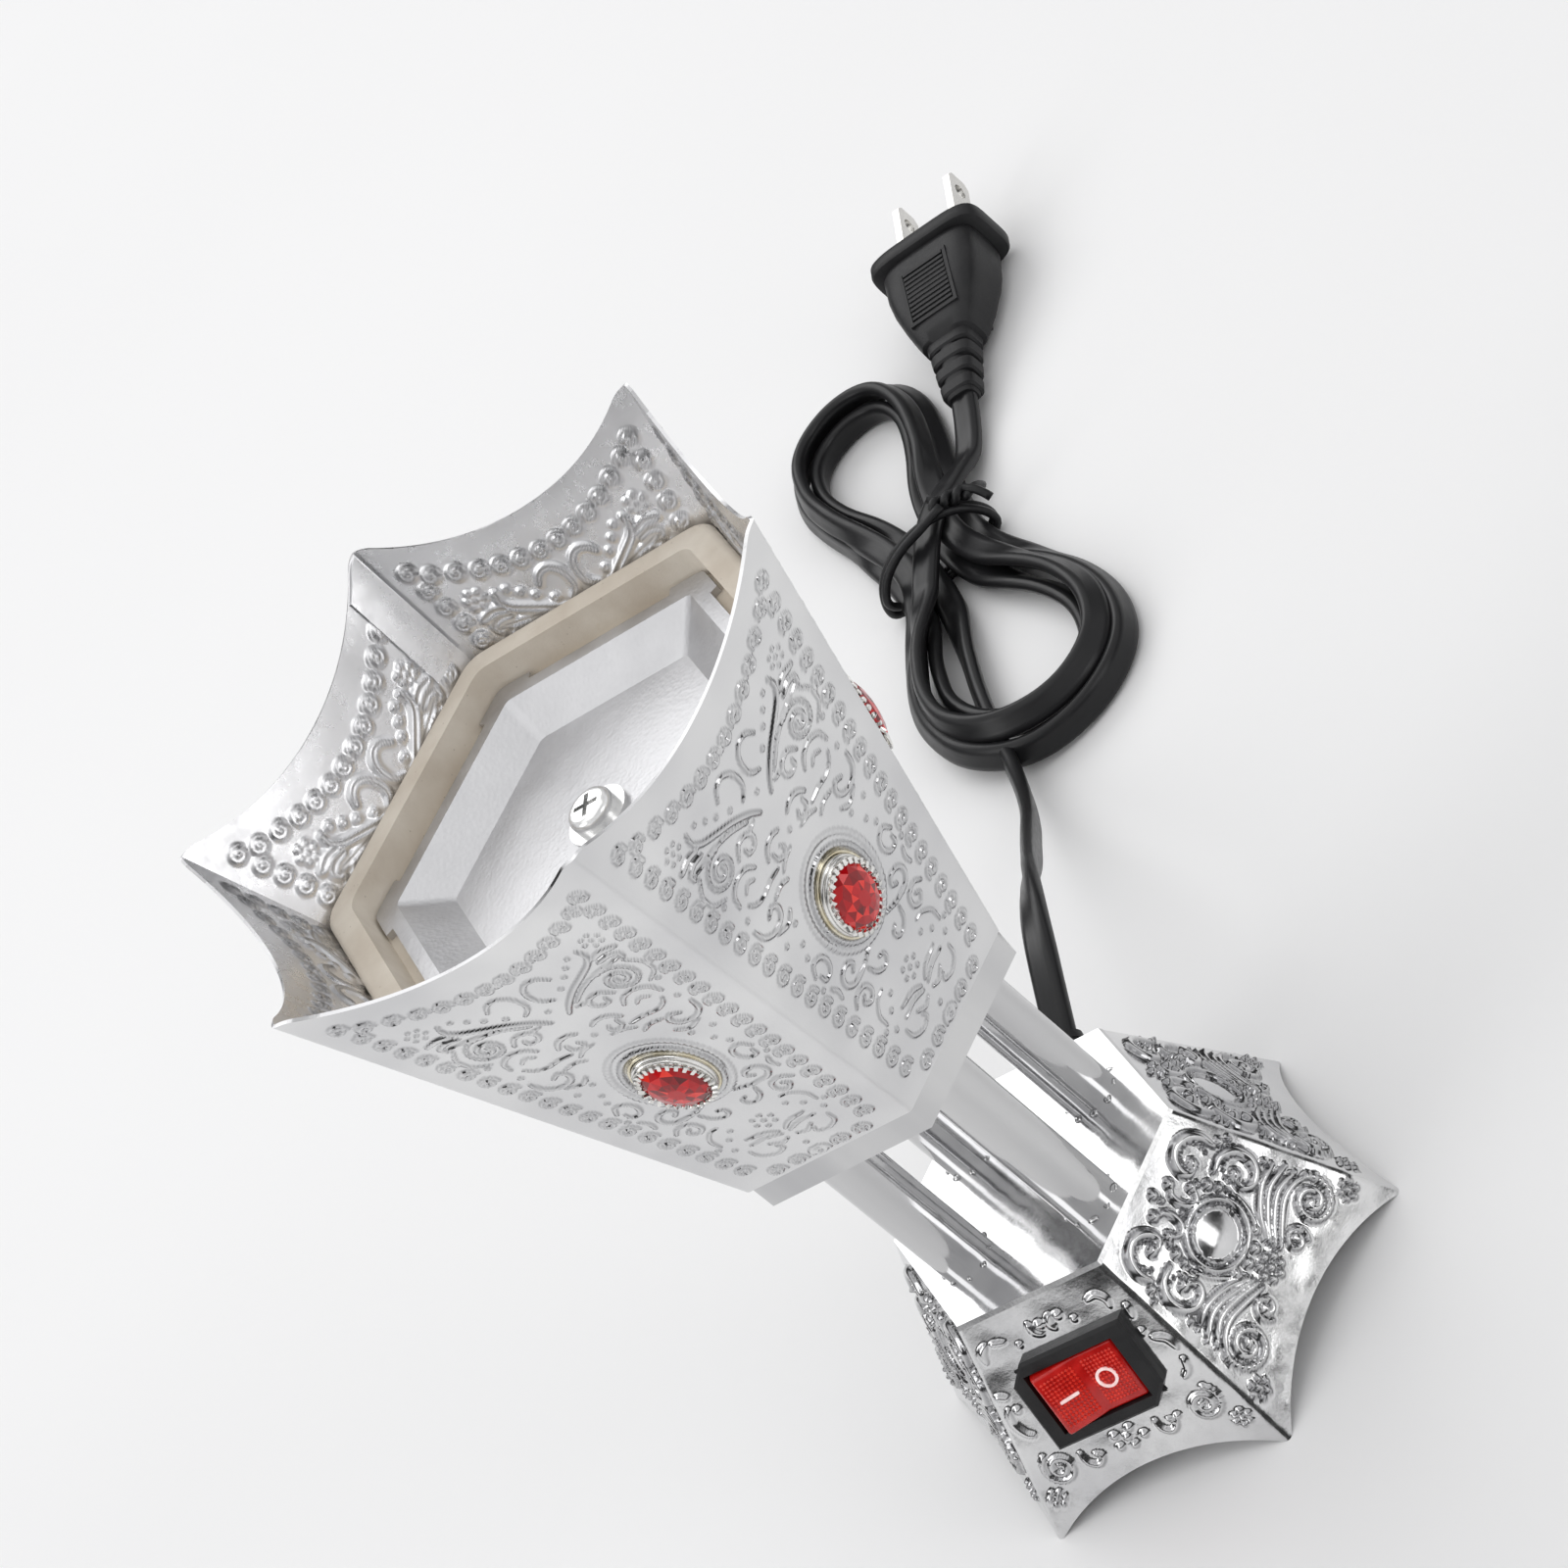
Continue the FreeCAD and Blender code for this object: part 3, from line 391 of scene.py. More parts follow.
sheet("silver_sheet", (0.62, 0.62, 0.63), (0.78, 0.78, 0.78), (0.10, 0.19), 0.04, 0.0011)
sheet("satin_sheet", (0.74, 0.74, 0.75), (0.90, 0.90, 0.91), (0.24, 0.36), 0.05, 0.0005)
ceramic("ceramic_cream")
cast_metal("tray_aluminium")
cut_glass("red_stone")
# The last number of each is the strength of a painted glow, standing in for light passing through
# the moulding.
lit("rocker_red", (0.40, 0.004, 0.003), (0.56, 0.010, 0.007), 0.10)
lit("rocker_pip", (0.58, 0.015, 0.008), (0.78, 0.04, 0.02), 0.12)
lit("rocker_mark", (0.90, 0.62, 0.60), (1.0, 0.84, 0.82), 0.25)
lit("lamp_glass", (0.80, 0.42, 0.26), (0.95, 0.66, 0.46), 0.10)
plain("polished_metal", (0.50, 0.50, 0.51), (0.66, 0.66, 0.66), (0.07, 0.16), 1.0, 70, 3000,
      0.000003, (1, 1, 0.08), wave=(120, 0.0002))
plain("cover_steel", (0.42, 0.42, 0.43), (0.58, 0.58, 0.58), (0.30, 0.45), 1.0, 80, 1400, 0.00002)
plain("setting_silver", (0.72, 0.71, 0.68), (0.93, 0.92, 0.90), (0.14, 0.30), 1.0, 400, 4000)
plain("gilt_rim", (0.62, 0.55, 0.38), (0.84, 0.80, 0.68), (0.16, 0.30), 1.0, 500, 3000)
plain("mica", (0.50, 0.44, 0.33), (0.72, 0.66, 0.52), (0.25, 0.45), 0.0, 240, 2200, 0.00003,
      (1, 1, 6), coat=0.4)
plain("ribbon_alloy", (0.28, 0.25, 0.23), (0.46, 0.42, 0.38), (0.35, 0.50), 1.0, 150, 2200)
plain("screw_steel", (0.66, 0.66, 0.66), (0.88, 0.88, 0.87), (0.12, 0.28), 1.0, 300, 2600)
plain("spring_steel", (0.50, 0.50, 0.50), (0.72, 0.72, 0.72), (0.20, 0.32), 1.0, 400, 3000)
plain("contact_brass", (0.62, 0.43, 0.16), (0.82, 0.60, 0.27), (0.20, 0.36), 1.0, 260, 2600)
plain("lead_copper", (0.60, 0.30, 0.18), (0.80, 0.46, 0.30), (0.22, 0.36), 1.0, 300, 2600)
plain("blade_nickel", (0.55, 0.54, 0.52), (0.74, 0.73, 0.70), (0.20, 0.36), 1.0, 260, 2200,
      0.000012, (1, 0.15, 1))
plain("glass_sleeve", (0.62, 0.58, 0.48), (0.78, 0.75, 0.66), (0.55, 0.72), 0.0, 300, 2400,
      0.00006, (1, 1, 0.4))
plain("plunger_white", (0.72, 0.72, 0.70), (0.82, 0.82, 0.80), (0.35, 0.50), 0.0, 300, 2600)
plain("core_brown", (0.10, 0.035, 0.015), (0.16, 0.06, 0.03), (0.32, 0.44), 0.0, 200, 2400)
plain("core_blue", (0.01, 0.05, 0.22), (0.02, 0.09, 0.34), (0.32, 0.44), 0.0, 200, 2400)
plain("splice_nylon", (0.62, 0.60, 0.54), (0.76, 0.74, 0.68), (0.36, 0.50), 0.0, 200, 2400)
plain("switch_black", (0.012, 0.012, 0.013), (0.024, 0.024, 0.025), (0.34, 0.46), 0.0, 200, 3800,
      0.00003, specular=0.3)
plain("relief_black", (0.010, 0.010, 0.011), (0.020, 0.020, 0.021), (0.42, 0.56), 0.0, 180, 3000,
      0.00003, specular=0.3)
plain("cord_black", (0.008, 0.008, 0.009), (0.017, 0.017, 0.018), (0.28, 0.40), 0.0, 90, 1600,
      0.00002, (1, 0.12, 1), uv=True, specular=0.3)
plain("plug_black", (0.010, 0.010, 0.011), (0.022, 0.022, 0.023), (0.40, 0.54), 0.0, 160, 3400,
      0.00003, specular=0.28)

for subpart in frame["record"]["subparts"]:
    node = frame["nodes"][subpart["node"]]
    node.data.materials.clear()
    node.data.materials.append(FINISHES[subpart["material_slot"]])


# ---- cord and plug ------------------------------------------------------------------------
CORD_WIDTH, CORD_THICK, CORD_LENGTH = 0.0055, 0.0029, 1.09  # metres
# The cord's cross-section: how round its edges are, and the valley between its two cores.
CORE_ROUND_X, CORE_ROUND_Y = 0.78, 0.72
VALLEY_DEPTH, VALLEY_WIDTH = 0.20, 0.13
# The flat cord turns on edge between these distances, in metres, from its exit, from the plug
# and from the tie.  On edge it stands at this angle, with two slow wavers.
EXIT_TURN, PLUG_TURN, TIE_TURN = (0.012, 0.055), (0.012, 0.045), (0.010, 0.032)
EDGE_ROLL, EDGE_WAVER, WAVER = 1.10, (0.22, 31.0), (0.10, 57.0)
# Above this height, in metres, the cord hangs free and isn't lifted to rest on what is below.
FREE_HEIGHT, FREE_FADE, REST_LIFT = 0.026, 0.012, 0.92
UV_WIDTH = 0.014
# Points that the cord is laid along.  The lead's are in the burner's own frame.
# The hank's are along its axis from the tie, across it, and above the floor.
LEAD_POINTS = [
    (0, 32, 27.4), (0, 43, 31.6), (-2, 55.5, 32.4), (-5.3, 67.5, 29.4), (-10.2, 80, 22.4),
    (-15.6, 93, 14.4), (-21.4, 106.5, 7.8), (-27.2, 120.5, 3.6), (-32.8, 135, 2),
]
HANK_POINTS = [
    (41, -8.5, 1.7), (27, -5.6, 1.7), (13, -3.2, 2.4), (0, -2.7, 3.2), (-13, -3.6, 2.4),
    (-26, -6.6, 1.7), (-36, -9.8, 1.7), (-47, -11.2, 1.7), (-57, -8.6, 1.7), (-61, 0.2, 1.7),
    (-57.5, 8.8, 1.7), (-47.5, 11.4, 1.7), (-36, 9.6, 1.7), (-22, 4.8, 1.7), (-10, 3, 2.6),
    (0, 2.9, 3.2), (11, 4.6, 2.6), (23, 9.4, 1.7), (34, 14, 1.7), (45, 16, 1.7), (56.5, 13.2, 1.7),
    (61, 2.4, 2.2), (56.5, -9, 4.4), (43.5, -13.8, 4.6), (30, -12.4, 3), (18, -9.8, 1.9),
    (8, -8.4, 2.6), (0, -8.1, 3.2), (-10, -8.8, 2.6), (-22, -11, 1.7), (-36, -14, 1.7),
    (-49, -15.4, 1.7), (-61.5, -11.6, 1.7), (-66.5, 0.4, 1.7), (-61.5, 12, 1.7), (-49, 15.4, 1.7),
    (-34, 13.6, 1.7), (-21, 10.6, 1.7), (-9, 8.8, 2.6), (0, 8.4, 3.2), (10, 10.4, 2.6),
    (22, 15.4, 1.7), (35, 20.4, 1.7), (49, 21.8, 1.7), (61, 18, 1.7), (67.5, 6.4, 1.7),
    (66, -7, 2.2), (57, -16.4, 4.4), (43, -19.2, 4.6), (30, -18.4, 3.2), (18, -13.2, 3.6),
    (8, -7.2, 5.2), (0, -5.2, 6.1), (-10, -6.3, 5.4), (-22, -9, 4.5), (-34, -12, 5.3),
    (-46, -13.4, 5.3), (-58.5, -10.4, 5.3), (-63.4, 0.3, 5.3), (-59, 10.6, 5.3), (-47, 13.6, 5.3),
    (-32, 11.8, 5.3), (-18, 7.6, 4.7), (-8, 5.8, 5.6), (0, 5.4, 6.1), (10, 7.4, 5.4),
    (22, 12.4, 4.4), (34, 17.4, 5.3), (47, 19.2, 5.3), (59, 15.2, 5.3), (64, 3.8, 5.4),
    (60.5, -8.6, 6.8), (50, -15.6, 7.4), (38, -16.2, 7.2), (26, -12.6, 6.9), (14, -6.4, 7.6),
    (5, -1.2, 8.7), (-4, 3.4, 8.6), (-11, 8.4, 7.2), (-16, 12.6, 4.8), (-21, 15.8, 2.6),
    (-28, 19.2, 2.8),
]
PLUG_AT = (-43.0, 231.5, 4.3)
HANK_AT, HANK_TURN = (-48.0, 190.0), -64.5


def cord_route():
    """The whole route in metres: the lead, the hank's three turns, and the plug's entry."""
    hank = moved(*HANK_AT, 0) @ turned(HANK_TURN, "Z")
    points = [Vector(p) for p in LEAD_POINTS] + [hank @ Vector(p) for p in HANK_POINTS]
    return [point * MM for point in points + [Vector(PLUG_AT)]]


def guide_curve(name, route, resolution):
    """A smooth NURBS line that a route in metres controls."""
    curve = bpy.data.curves.new(name, "CURVE")
    curve.dimensions = "3D"
    spline = curve.splines.new("NURBS")
    spline.points.add(len(route) - 1)
    for point, place in zip(spline.points, route):
        point.co = (*place, 1)
    spline.order_u = 3
    spline.use_endpoint_u = True
    spline.resolution_u = resolution
    return curve


def eased(value, low, high):
    """0 below low, 1 above high, with a soft change between."""
    f = min(max((value - low) / (high - low), 0.0), 1.0)
    return f * f * (3 - 2 * f)


def cord_roll(point, along):
    """The cord lies flat at both ends and under the tie, and stands on edge between them."""
    from_tie = math.hypot(point.x - HANK_AT[0] * MM, point.y - HANK_AT[1] * MM)
    on_edge = eased(along, *EXIT_TURN) * eased(CORD_LENGTH - along, *PLUG_TURN)
    on_edge *= eased(from_tie, *TIE_TURN)
    size, rate = EDGE_WAVER
    roll = (EDGE_ROLL + size * math.sin(along * rate)) * on_edge
    size, rate = WAVER
    return roll + size * math.sin(along * rate + 1.0)


def rolls_along(path):
    """How far along the path each point is, and the cord's roll there."""
    along, rolls = 0.0, []
    for i, point in enumerate(path):
        if i > 0:
            along += (point - path[i - 1]).length
        rolls.append((along, cord_roll(point, along)))
    return rolls


def rested(path):
    """The same line, raised where the cord stands on edge to rest on what is below."""
    raised = []
    for point, (_, roll) in zip(path, rolls_along(path)):
        half = 0.5 * (CORD_WIDTH * abs(math.sin(roll)) + CORD_THICK * abs(math.cos(roll)))
        lift = (half - 0.5 * CORD_THICK) * eased(FREE_HEIGHT - point.z, 0.0, FREE_FADE)
        raised.append(point + Vector((0, 0, REST_LIFT * lift)))
    return raised


def cord_outline(steps=20):
    """Two rounded cores side by side with a shallow valley between them, in metres."""
    outline = []
    for i in range(steps):
        x, y = superpoint(2 * math.pi * i / steps, CORD_WIDTH, CORD_THICK,
                          CORE_ROUND_X, CORE_ROUND_Y)
        valley = VALLEY_DEPTH * math.exp(-((x / (VALLEY_WIDTH * CORD_WIDTH)) ** 2))
        outline.append((x, y * (1 - valley)))
    return outline


def make_cord():
    guide = show("guide_line", guide_curve("guide_line", cord_route(), 9))
    path = rested([v.co.copy() for v in plain_mesh(guide).vertices])
    outline = cord_outline()
    count = len(outline)
    rolls = rolls_along(path)
    vertices = []
    for i, point in enumerate(path):
        before, after = path[max(i - 1, 0)], path[min(i + 1, len(path) - 1)]
        heading = (after - before).normalized()
        level = Vector((heading.y, -heading.x, 0)).normalized()
        lift = level.cross(heading)
        roll = rolls[i][1]
        side = level * math.cos(roll) + lift * math.sin(roll)
        top = lift * math.cos(roll) - level * math.sin(roll)
        vertices += [point + side * x + top * y for x, y in outline]
    mesh = mesh_from("mains_cord", vertices, round_faces(len(path), count), 60)
    layer = mesh.uv_layers.new(name="along_cord")
    for loop in mesh.loops:
        ring, spot = divmod(loop.vertex_index, count)
        layer.data[loop.index].uv = (UV_WIDTH * spot / count, rolls[ring][0])
    face_outwards(mesh)
    return fit("mains_cord", mesh, "cord_black", ("cord_lead", "cord_hank", "cord_tail")), path


# The plug's parts are (height, width, depth, roundness), and a grip ring has only the first three.
PLUG_NECK = [(-0.3, 5.8, 4.2, 3.0), (0.4, 6.4, 4.8, 3.0), (15.4, 5.0, 7.0, 3.0)]
PLUG_RINGS = [(0.9, 7.6, 5.7), (5.1, 8.4, 6.3), (9.3, 9.2, 6.9), (12.9, 9.9, 7.4)]
PLUG_GRIP = [(14.6, 9.0, 7.2, 3.0), (15.4, 12.0, 9.0, 3.4), (17.6, 13.8, 10.1, 3.8),
             (22.0, 16.8, 11.4, 4.4), (27.0, 19.8, 12.8, 4.6), (31.0, 21.2, 13.6, 4.8),
             (36.8, 21.8, 14.0, 4.8), (38.7, 20.8, 13.2, 4.4)]
PLUG_HEAD = [(38.4, 23.8, 13.8, 4.6), (38.9, 25.7, 15.7, 5.0), (39.5, 26.1, 16.1, 5.2),
             (41.6, 26.1, 16.1, 5.2), (42.2, 25.5, 15.5, 5.0), (42.5, 24.0, 14.0, 4.6)]
# Bars of the frame round the grip ribs, as (x, height) corners, and how far they stand.
GRIP_BARS = [((-5.6, 20.6), (-4.9, 33.6)), ((4.9, 20.6), (5.6, 33.6)),
             ((-5.6, 19.9), (5.6, 20.7)), ((-5.6, 33.4), (5.6, 34.2))]
BAR_SUNK, BAR_STANDS = 0.5, 0.3
BOX_FACES = [(0, 1, 2, 3), (7, 6, 5, 4), (0, 4, 5, 1), (1, 5, 6, 2), (2, 6, 7, 3), (3, 7, 4, 0)]


def plug_frame():
    """Origin where the cord enters the plug, Z along the plug, X level, across the blades."""
    axis = Vector(plug_mount["axis"]).normalized()
    level = axis.cross(Vector((0, 0, 1))).normalized()
    matrix = Matrix((level, axis.cross(level), axis)).transposed().to_4x4()
    matrix.translation = Vector(PLUG_AT) * MM
    return matrix


def grip_bar(y, low, high):
    """One bar on the front (1) or back (-1) of the plug, following its swell."""
    (x0, z0), (x1, z1) = low, high
    heights, depths = [row[0] for row in PLUG_GRIP], [row[2] / 2 for row in PLUG_GRIP]
    corners = []
    for z in (z0, z1):
        face_y = np.interp(z, heights, depths)
        sunk, stands = y * (face_y - BAR_SUNK), y * (face_y + BAR_STANDS)
        corners += [(x0, sunk, z), (x1, sunk, z), (x1, stands, z), (x0, stands, z)]
    return corners, BOX_FACES if y > 0 else [tuple(reversed(face)) for face in BOX_FACES]


def make_plug():
    shells = [loft(PLUG_NECK)]
    for z, width, depth in PLUG_RINGS:
        shells.append(loft([(z - 0.3, width - 1.0, depth - 0.8, 3.4), (z + 0.1, width, depth, 3.6),
                            (z + 2.3, width + 0.4, depth + 0.3, 3.6),
                            (z + 2.7, width - 0.7, depth - 0.6, 3.4)]))
    shells += [loft(PLUG_GRIP, 48), loft(PLUG_HEAD, 48)]
    shells += [grip_bar(y, *bar) for y in (-1, 1) for bar in GRIP_BARS]
    vertices, faces = [], []
    for shell_vertices, shell_faces in shells:
        start = len(vertices)
        vertices += [Vector(v) * MM for v in shell_vertices]
        faces += [tuple(i + start for i in face) for face in shell_faces]
    mesh = mesh_from("plug_moulding", vertices, faces, 35)
    mesh.transform(plug_frame())
    return fit("plug_moulding", mesh, "plug_black", ("plug_body",))


# ---- things that repeat: built as node trees, then turned into plain meshes ----------------
class Tree:
    """A node tree with a named input for each of its sizes."""

    def __init__(self, name, counts, lengths):
        self.tree = bpy.data.node_groups.new(name, "GeometryNodeTree")
        for way in ("INPUT", "OUTPUT"):
            self.socket("Geometry", "NodeSocketGeometry", way)
        for label in counts:
            self.socket(label, "NodeSocketInt")
        for label in lengths:
            self.socket(label, "NodeSocketFloat")
        self.size = self.tree.nodes.new("NodeGroupInput").outputs

    def socket(self, label, kind, way="INPUT"):
        self.tree.interface.new_socket(label, in_out=way, socket_type=kind)

    def put(self, kind, inputs=None, **settings):
        """The first output of a new node of this kind."""
        return put(self.tree, kind, inputs, **settings).outputs[0]

    def triple(self, x=0.0, y=0.0, z=0.0):
        return self.put("ShaderNodeCombineXYZ", {"X": x, "Y": y, "Z": z})

    def times(self, length, factor):
        return self.put("ShaderNodeMath", {0: length, 1: factor}, operation="MULTIPLY")

    def repeat(self, points, instance, **inputs):
        inputs = {"Points": points, "Instance": instance, **inputs}
        return self.put("GeometryNodeInstanceOnPoints", inputs)

    def oval(self, circle):
        """A unit circle stretched to the oval's half sizes and raised."""
        stretch = self.triple(self.size["Half Width"], self.size["Half Height"], 1.0)
        rise = self.triple(0.0, 0.0, self.size["Rise"])
        return self.put("GeometryNodeTransform",
                        {"Geometry": circle, "Scale": stretch, "Translation": rise})

    def close(self, geometry, material):
        """Every tree ends by making its instances real and giving them their material."""
        real = self.put("GeometryNodeRealizeInstances", {"Geometry": geometry})
        painted = self.put("GeometryNodeSetMaterial", {"Geometry": real, "Material": material})
        put(self.tree, "NodeGroupOutput", {"Geometry": painted})
        return self.tree


def grown(name, tree, sizes, material):
    """The plain mesh that a tree makes: whole sizes are counts, the others millimetres."""
    piece = show(name, bpy.data.meshes.new(name))
    modifier = piece.modifiers.new("grow", "NODES")
    modifier.node_group = tree
    for item in tree.interface.items_tree:
        if item.in_out == "INPUT" and item.name in sizes:
            size = sizes[item.name]
            modifier[item.identifier] = size if isinstance(size, int) else size * MM
    mesh = plain_mesh(piece)
    mesh.name = name
    mesh.materials.clear()
    mesh.materials.append(material)
    return mesh


def prong_tree(material):
    """Claws round an oval, leaning in over the stone."""
    tree = Tree("prong_ring", ["Prongs"],
                ["Half Width", "Half Height", "Rise", "Claw Width", "Claw Reach"])
    size = tree.size
    circle = tree.put("GeometryNodeMeshCircle", {"Vertices": size["Prongs"], "Radius": 1.0})
    block = tree.triple(size["Claw Reach"], size["Claw Width"], size["Claw Width"])
    claw = tree.put("GeometryNodeMeshCube", {"Size": block})
    soft = tree.put("GeometryNodeSubdivisionSurface",
                    {"Mesh": claw, "Level": 2, "Edge Crease": 0.55})
    leaning = tree.put("GeometryNodeTransform",
                       {"Geometry": soft, "Rotation": tree.triple(0.0, CLAW_LEAN, 0.0)})
    outward = tree.put("FunctionNodeAlignRotationToVector",
                       {"Vector": tree.put("GeometryNodeInputPosition")}, axis="X")
    return tree.close(tree.repeat(tree.oval(circle), leaning, Rotation=outward), material)


def wall_tree(material):
    """Rounded band swept round an oval."""
    tree = Tree("oval_band", [], ["Half Width", "Half Height", "Rise", "Thickness"])
    circle = tree.put("GeometryNodeCurvePrimitiveCircle", {"Resolution": 56, "Radius": 1.0})
    section = tree.put("GeometryNodeCurvePrimitiveCircle",
                       {"Resolution": 10, "Radius": tree.size["Thickness"]})
    swept = tree.put("GeometryNodeCurveToMesh",
                     {"Curve": tree.oval(circle), "Profile Curve": section})
    return tree.close(swept, material)


def pip_tree(material):
    """Field of small four-sided pips on a rectangle."""
    tree = Tree("pip_field", ["Columns", "Rows"], ["Width", "Height", "Pip"])
    size = tree.size
    field = tree.put("GeometryNodeMeshGrid", {"Size X": size["Width"], "Size Y": size["Height"],
                                              "Vertices X": size["Columns"],
                                              "Vertices Y": size["Rows"]})
    pip = tree.put("GeometryNodeMeshCone", {"Vertices": 4, "Radius Bottom": size["Pip"],
                                            "Radius Top": tree.times(size["Pip"], 0.35),
                                            "Depth": tree.times(size["Pip"], 0.6)})
    return tree.close(tree.repeat(field, pip), material)


def rib_tree(material):
    """Row of straight ribs, one pitch apart."""
    tree = Tree("rib_row", ["Ribs"], ["Pitch", "Length", "Width", "Height"])
    size = tree.size
    row = tree.put("GeometryNodeMeshLine",
                   {"Count": size["Ribs"], "Offset": tree.triple(0.0, size["Pitch"], 0.0)},
                   mode="OFFSET")
    block = tree.triple(size["Length"], size["Width"], size["Height"])
    return tree.close(tree.repeat(row, tree.put("GeometryNodeMeshCube", {"Size": block})), material)


def bead_tree(material):
    """Solder beads of uneven size round the foot of a tube."""
    tree = Tree("solder_beads", ["Beads", "Seed"], ["Ring Radius", "Bead"])
    size = tree.size
    circle = tree.put("GeometryNodeMeshCircle",
                      {"Vertices": size["Beads"], "Radius": size["Ring Radius"]})
    bead = tree.put("GeometryNodeMeshIcoSphere", {"Subdivisions": 2, "Radius": size["Bead"]})
    uneven = tree.put("FunctionNodeRandomValue",
                      {0: (0.35, 0.35, 0.2), 1: (1.3, 1.3, 0.8), "Seed": size["Seed"]},
                      data_type="FLOAT_VECTOR")
    return tree.close(tree.repeat(circle, bead, Scale=uneven), material)


def to_millimetres(matrix):
    """Places a mesh made in metres by a frame that takes millimetres."""
    return matrix @ Matrix.Scale(1 / MM, 4)


GRIP_RIBS = {"Ribs": 11, "Pitch": 1.15, "Length": 9.4, "Width": 0.6, "Height": 1.0}
RIB_Y, RIB_START, RIB_RISE, RIB_RUN = 5.45, 21.6, 1.35, 12.0


def make_plug_ribs():
    """Grip ribs on both broad faces of the plug, inside their frames."""
    material = FINISHES["plug_black"]
    field = grown("plug_grip_ribs", rib_tree(material), GRIP_RIBS, material)
    lean = math.degrees(math.atan2(RIB_RISE, RIB_RUN))
    sides = []
    for turn in (0, 180):
        mesh = field.copy()
        mesh.transform(plug_frame() @ turned(turn, "Z") @ moved(0, RIB_Y * MM, RIB_START * MM)
                       @ turned(90 - lean, "X"))
        sides.append(mesh)
    return fit("plug_grip_ribs", merged("plug_grip_ribs", sides, 30), "plug_black")


# The tie's two turns round the bundle, as (across, above the floor), and the ends of its wire.
TIE_LOOP = [(-12.7, 0.95), (-13.0, 4.6), (-9.6, 9.6), (-3.6, 12.4), (3.8, 12.4), (9.9, 9.6),
            (13.2, 4.7), (12.9, 0.95), (5.0, 0.85), (-5.0, 0.85)]
TIE_START = [(-3.6, 6.5, 13.2)]
TIE_END = [(1.6, -13.0, 4.6), (1.9, -9.6, 9.8), (2.0, -3.4, 12.6), (2.4, 3.4, 13.0),
           (1.0, 7.6, 12.8)]
TIE_RADIUS, TIE_FIRST, TIE_PITCH, TWIST_R, TWIST_TURN = 0.85, -2.2, 1.9, 0.9, 9.0


def tie_tail(phase):
    """One of the tie's ends: twisted round the other, then splayed."""
    tail = []
    for i in range(15):
        t = i / 14
        turn = phase + TWIST_TURN * t
        tail.append(Vector((-1.2 + TWIST_R * math.cos(turn) + 1.5 * t, 6.0 + 6.6 * t,
                            12.6 + TWIST_R * math.sin(turn) - 1.6 * t)))
    tail.append(tail[-1] + Vector((2.4 * math.cos(phase), 2.2, -1.0)))
    tail.append(tail[-1] + Vector((1.6 * math.cos(phase), 0.6, -2.2)))
    return tail


def make_tie():
    """Wire tie: two turns round the bundle, its ends twisted together and splayed."""
    name = "cord_tie_wire"
    low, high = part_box("cord_tie")
    centre = (low + high) / 2
    loop = []
    for turn in range(2):
        for i, (y, z) in enumerate(TIE_LOOP):
            loop.append((TIE_FIRST + TIE_PITCH * turn + 0.1 * TIE_PITCH * i, y, z))
    meshes = []
    for route in (TIE_START + loop[5:] + TIE_END, tie_tail(0), tie_tail(math.pi)):
        curve = guide_curve(name, [Vector(point) * MM for point in route], 6)
        curve.bevel_depth = TIE_RADIUS * MM
        curve.bevel_resolution = 3
        curve.use_fill_caps = True
        curve.materials.append(FINISHES["cord_black"])
        meshes.append(plain_mesh(show(name, curve)))
    mesh = merged(name, meshes, 50)
    mesh.transform(moved(centre.x, centre.y, 0) @ turned(HANK_TURN, "Z"))
    face_outwards(mesh, weld=True)
    return fit(name, mesh, "cord_black", ("cord_tie",))


cord, cord_path = make_cord()
plug = make_plug()
plug_ribs = make_plug_ribs()
tie = make_tie()


# ---- pressed relief -----------------------------------------------------------------------
def smooth_line(points, step=0.14):
    """Close-set points along a smooth line through the given ones."""
    p = np.array(points, float)
    padded = np.vstack([2 * p[0] - p[1], p, 2 * p[-1] - p[-2]])
    line = []
    for i in range(len(p) - 1):
        a, b, c, d = padded[i:i + 4]
        count = max(2, int(np.linalg.norm(c - b) / step) + 1)
        t = np.linspace(0, 1, count, endpoint=False)[:, None]
        line.append(0.5 * (2 * b + (c - a) * t + (2 * a - 5 * b + 4 * c - d) * t ** 2
                           + (3 * b - a - 3 * c + d) * t ** 3))
    line.append(p[-1:])
    return np.vstack(line)


def curl(x, s, outer, inner, start, turns):
    """Points of a spiral round (x, s), from its outer end inward; start is in degrees."""
    f = np.linspace(0, 1, int(abs(turns) * 22) + 2)
    angle = math.radians(start) + f * turns * 2 * math.pi
    radius = outer + (inner - outer) * f ** 0.85
    return np.stack([x + radius * np.cos(angle), s + radius * np.sin(angle)], 1)


def oval_line(s, half_width, half_height):
    t = np.linspace(0, 2 * math.pi, 60)
    return np.stack([half_width * np.cos(t), s + half_height * np.sin(t)], 1)


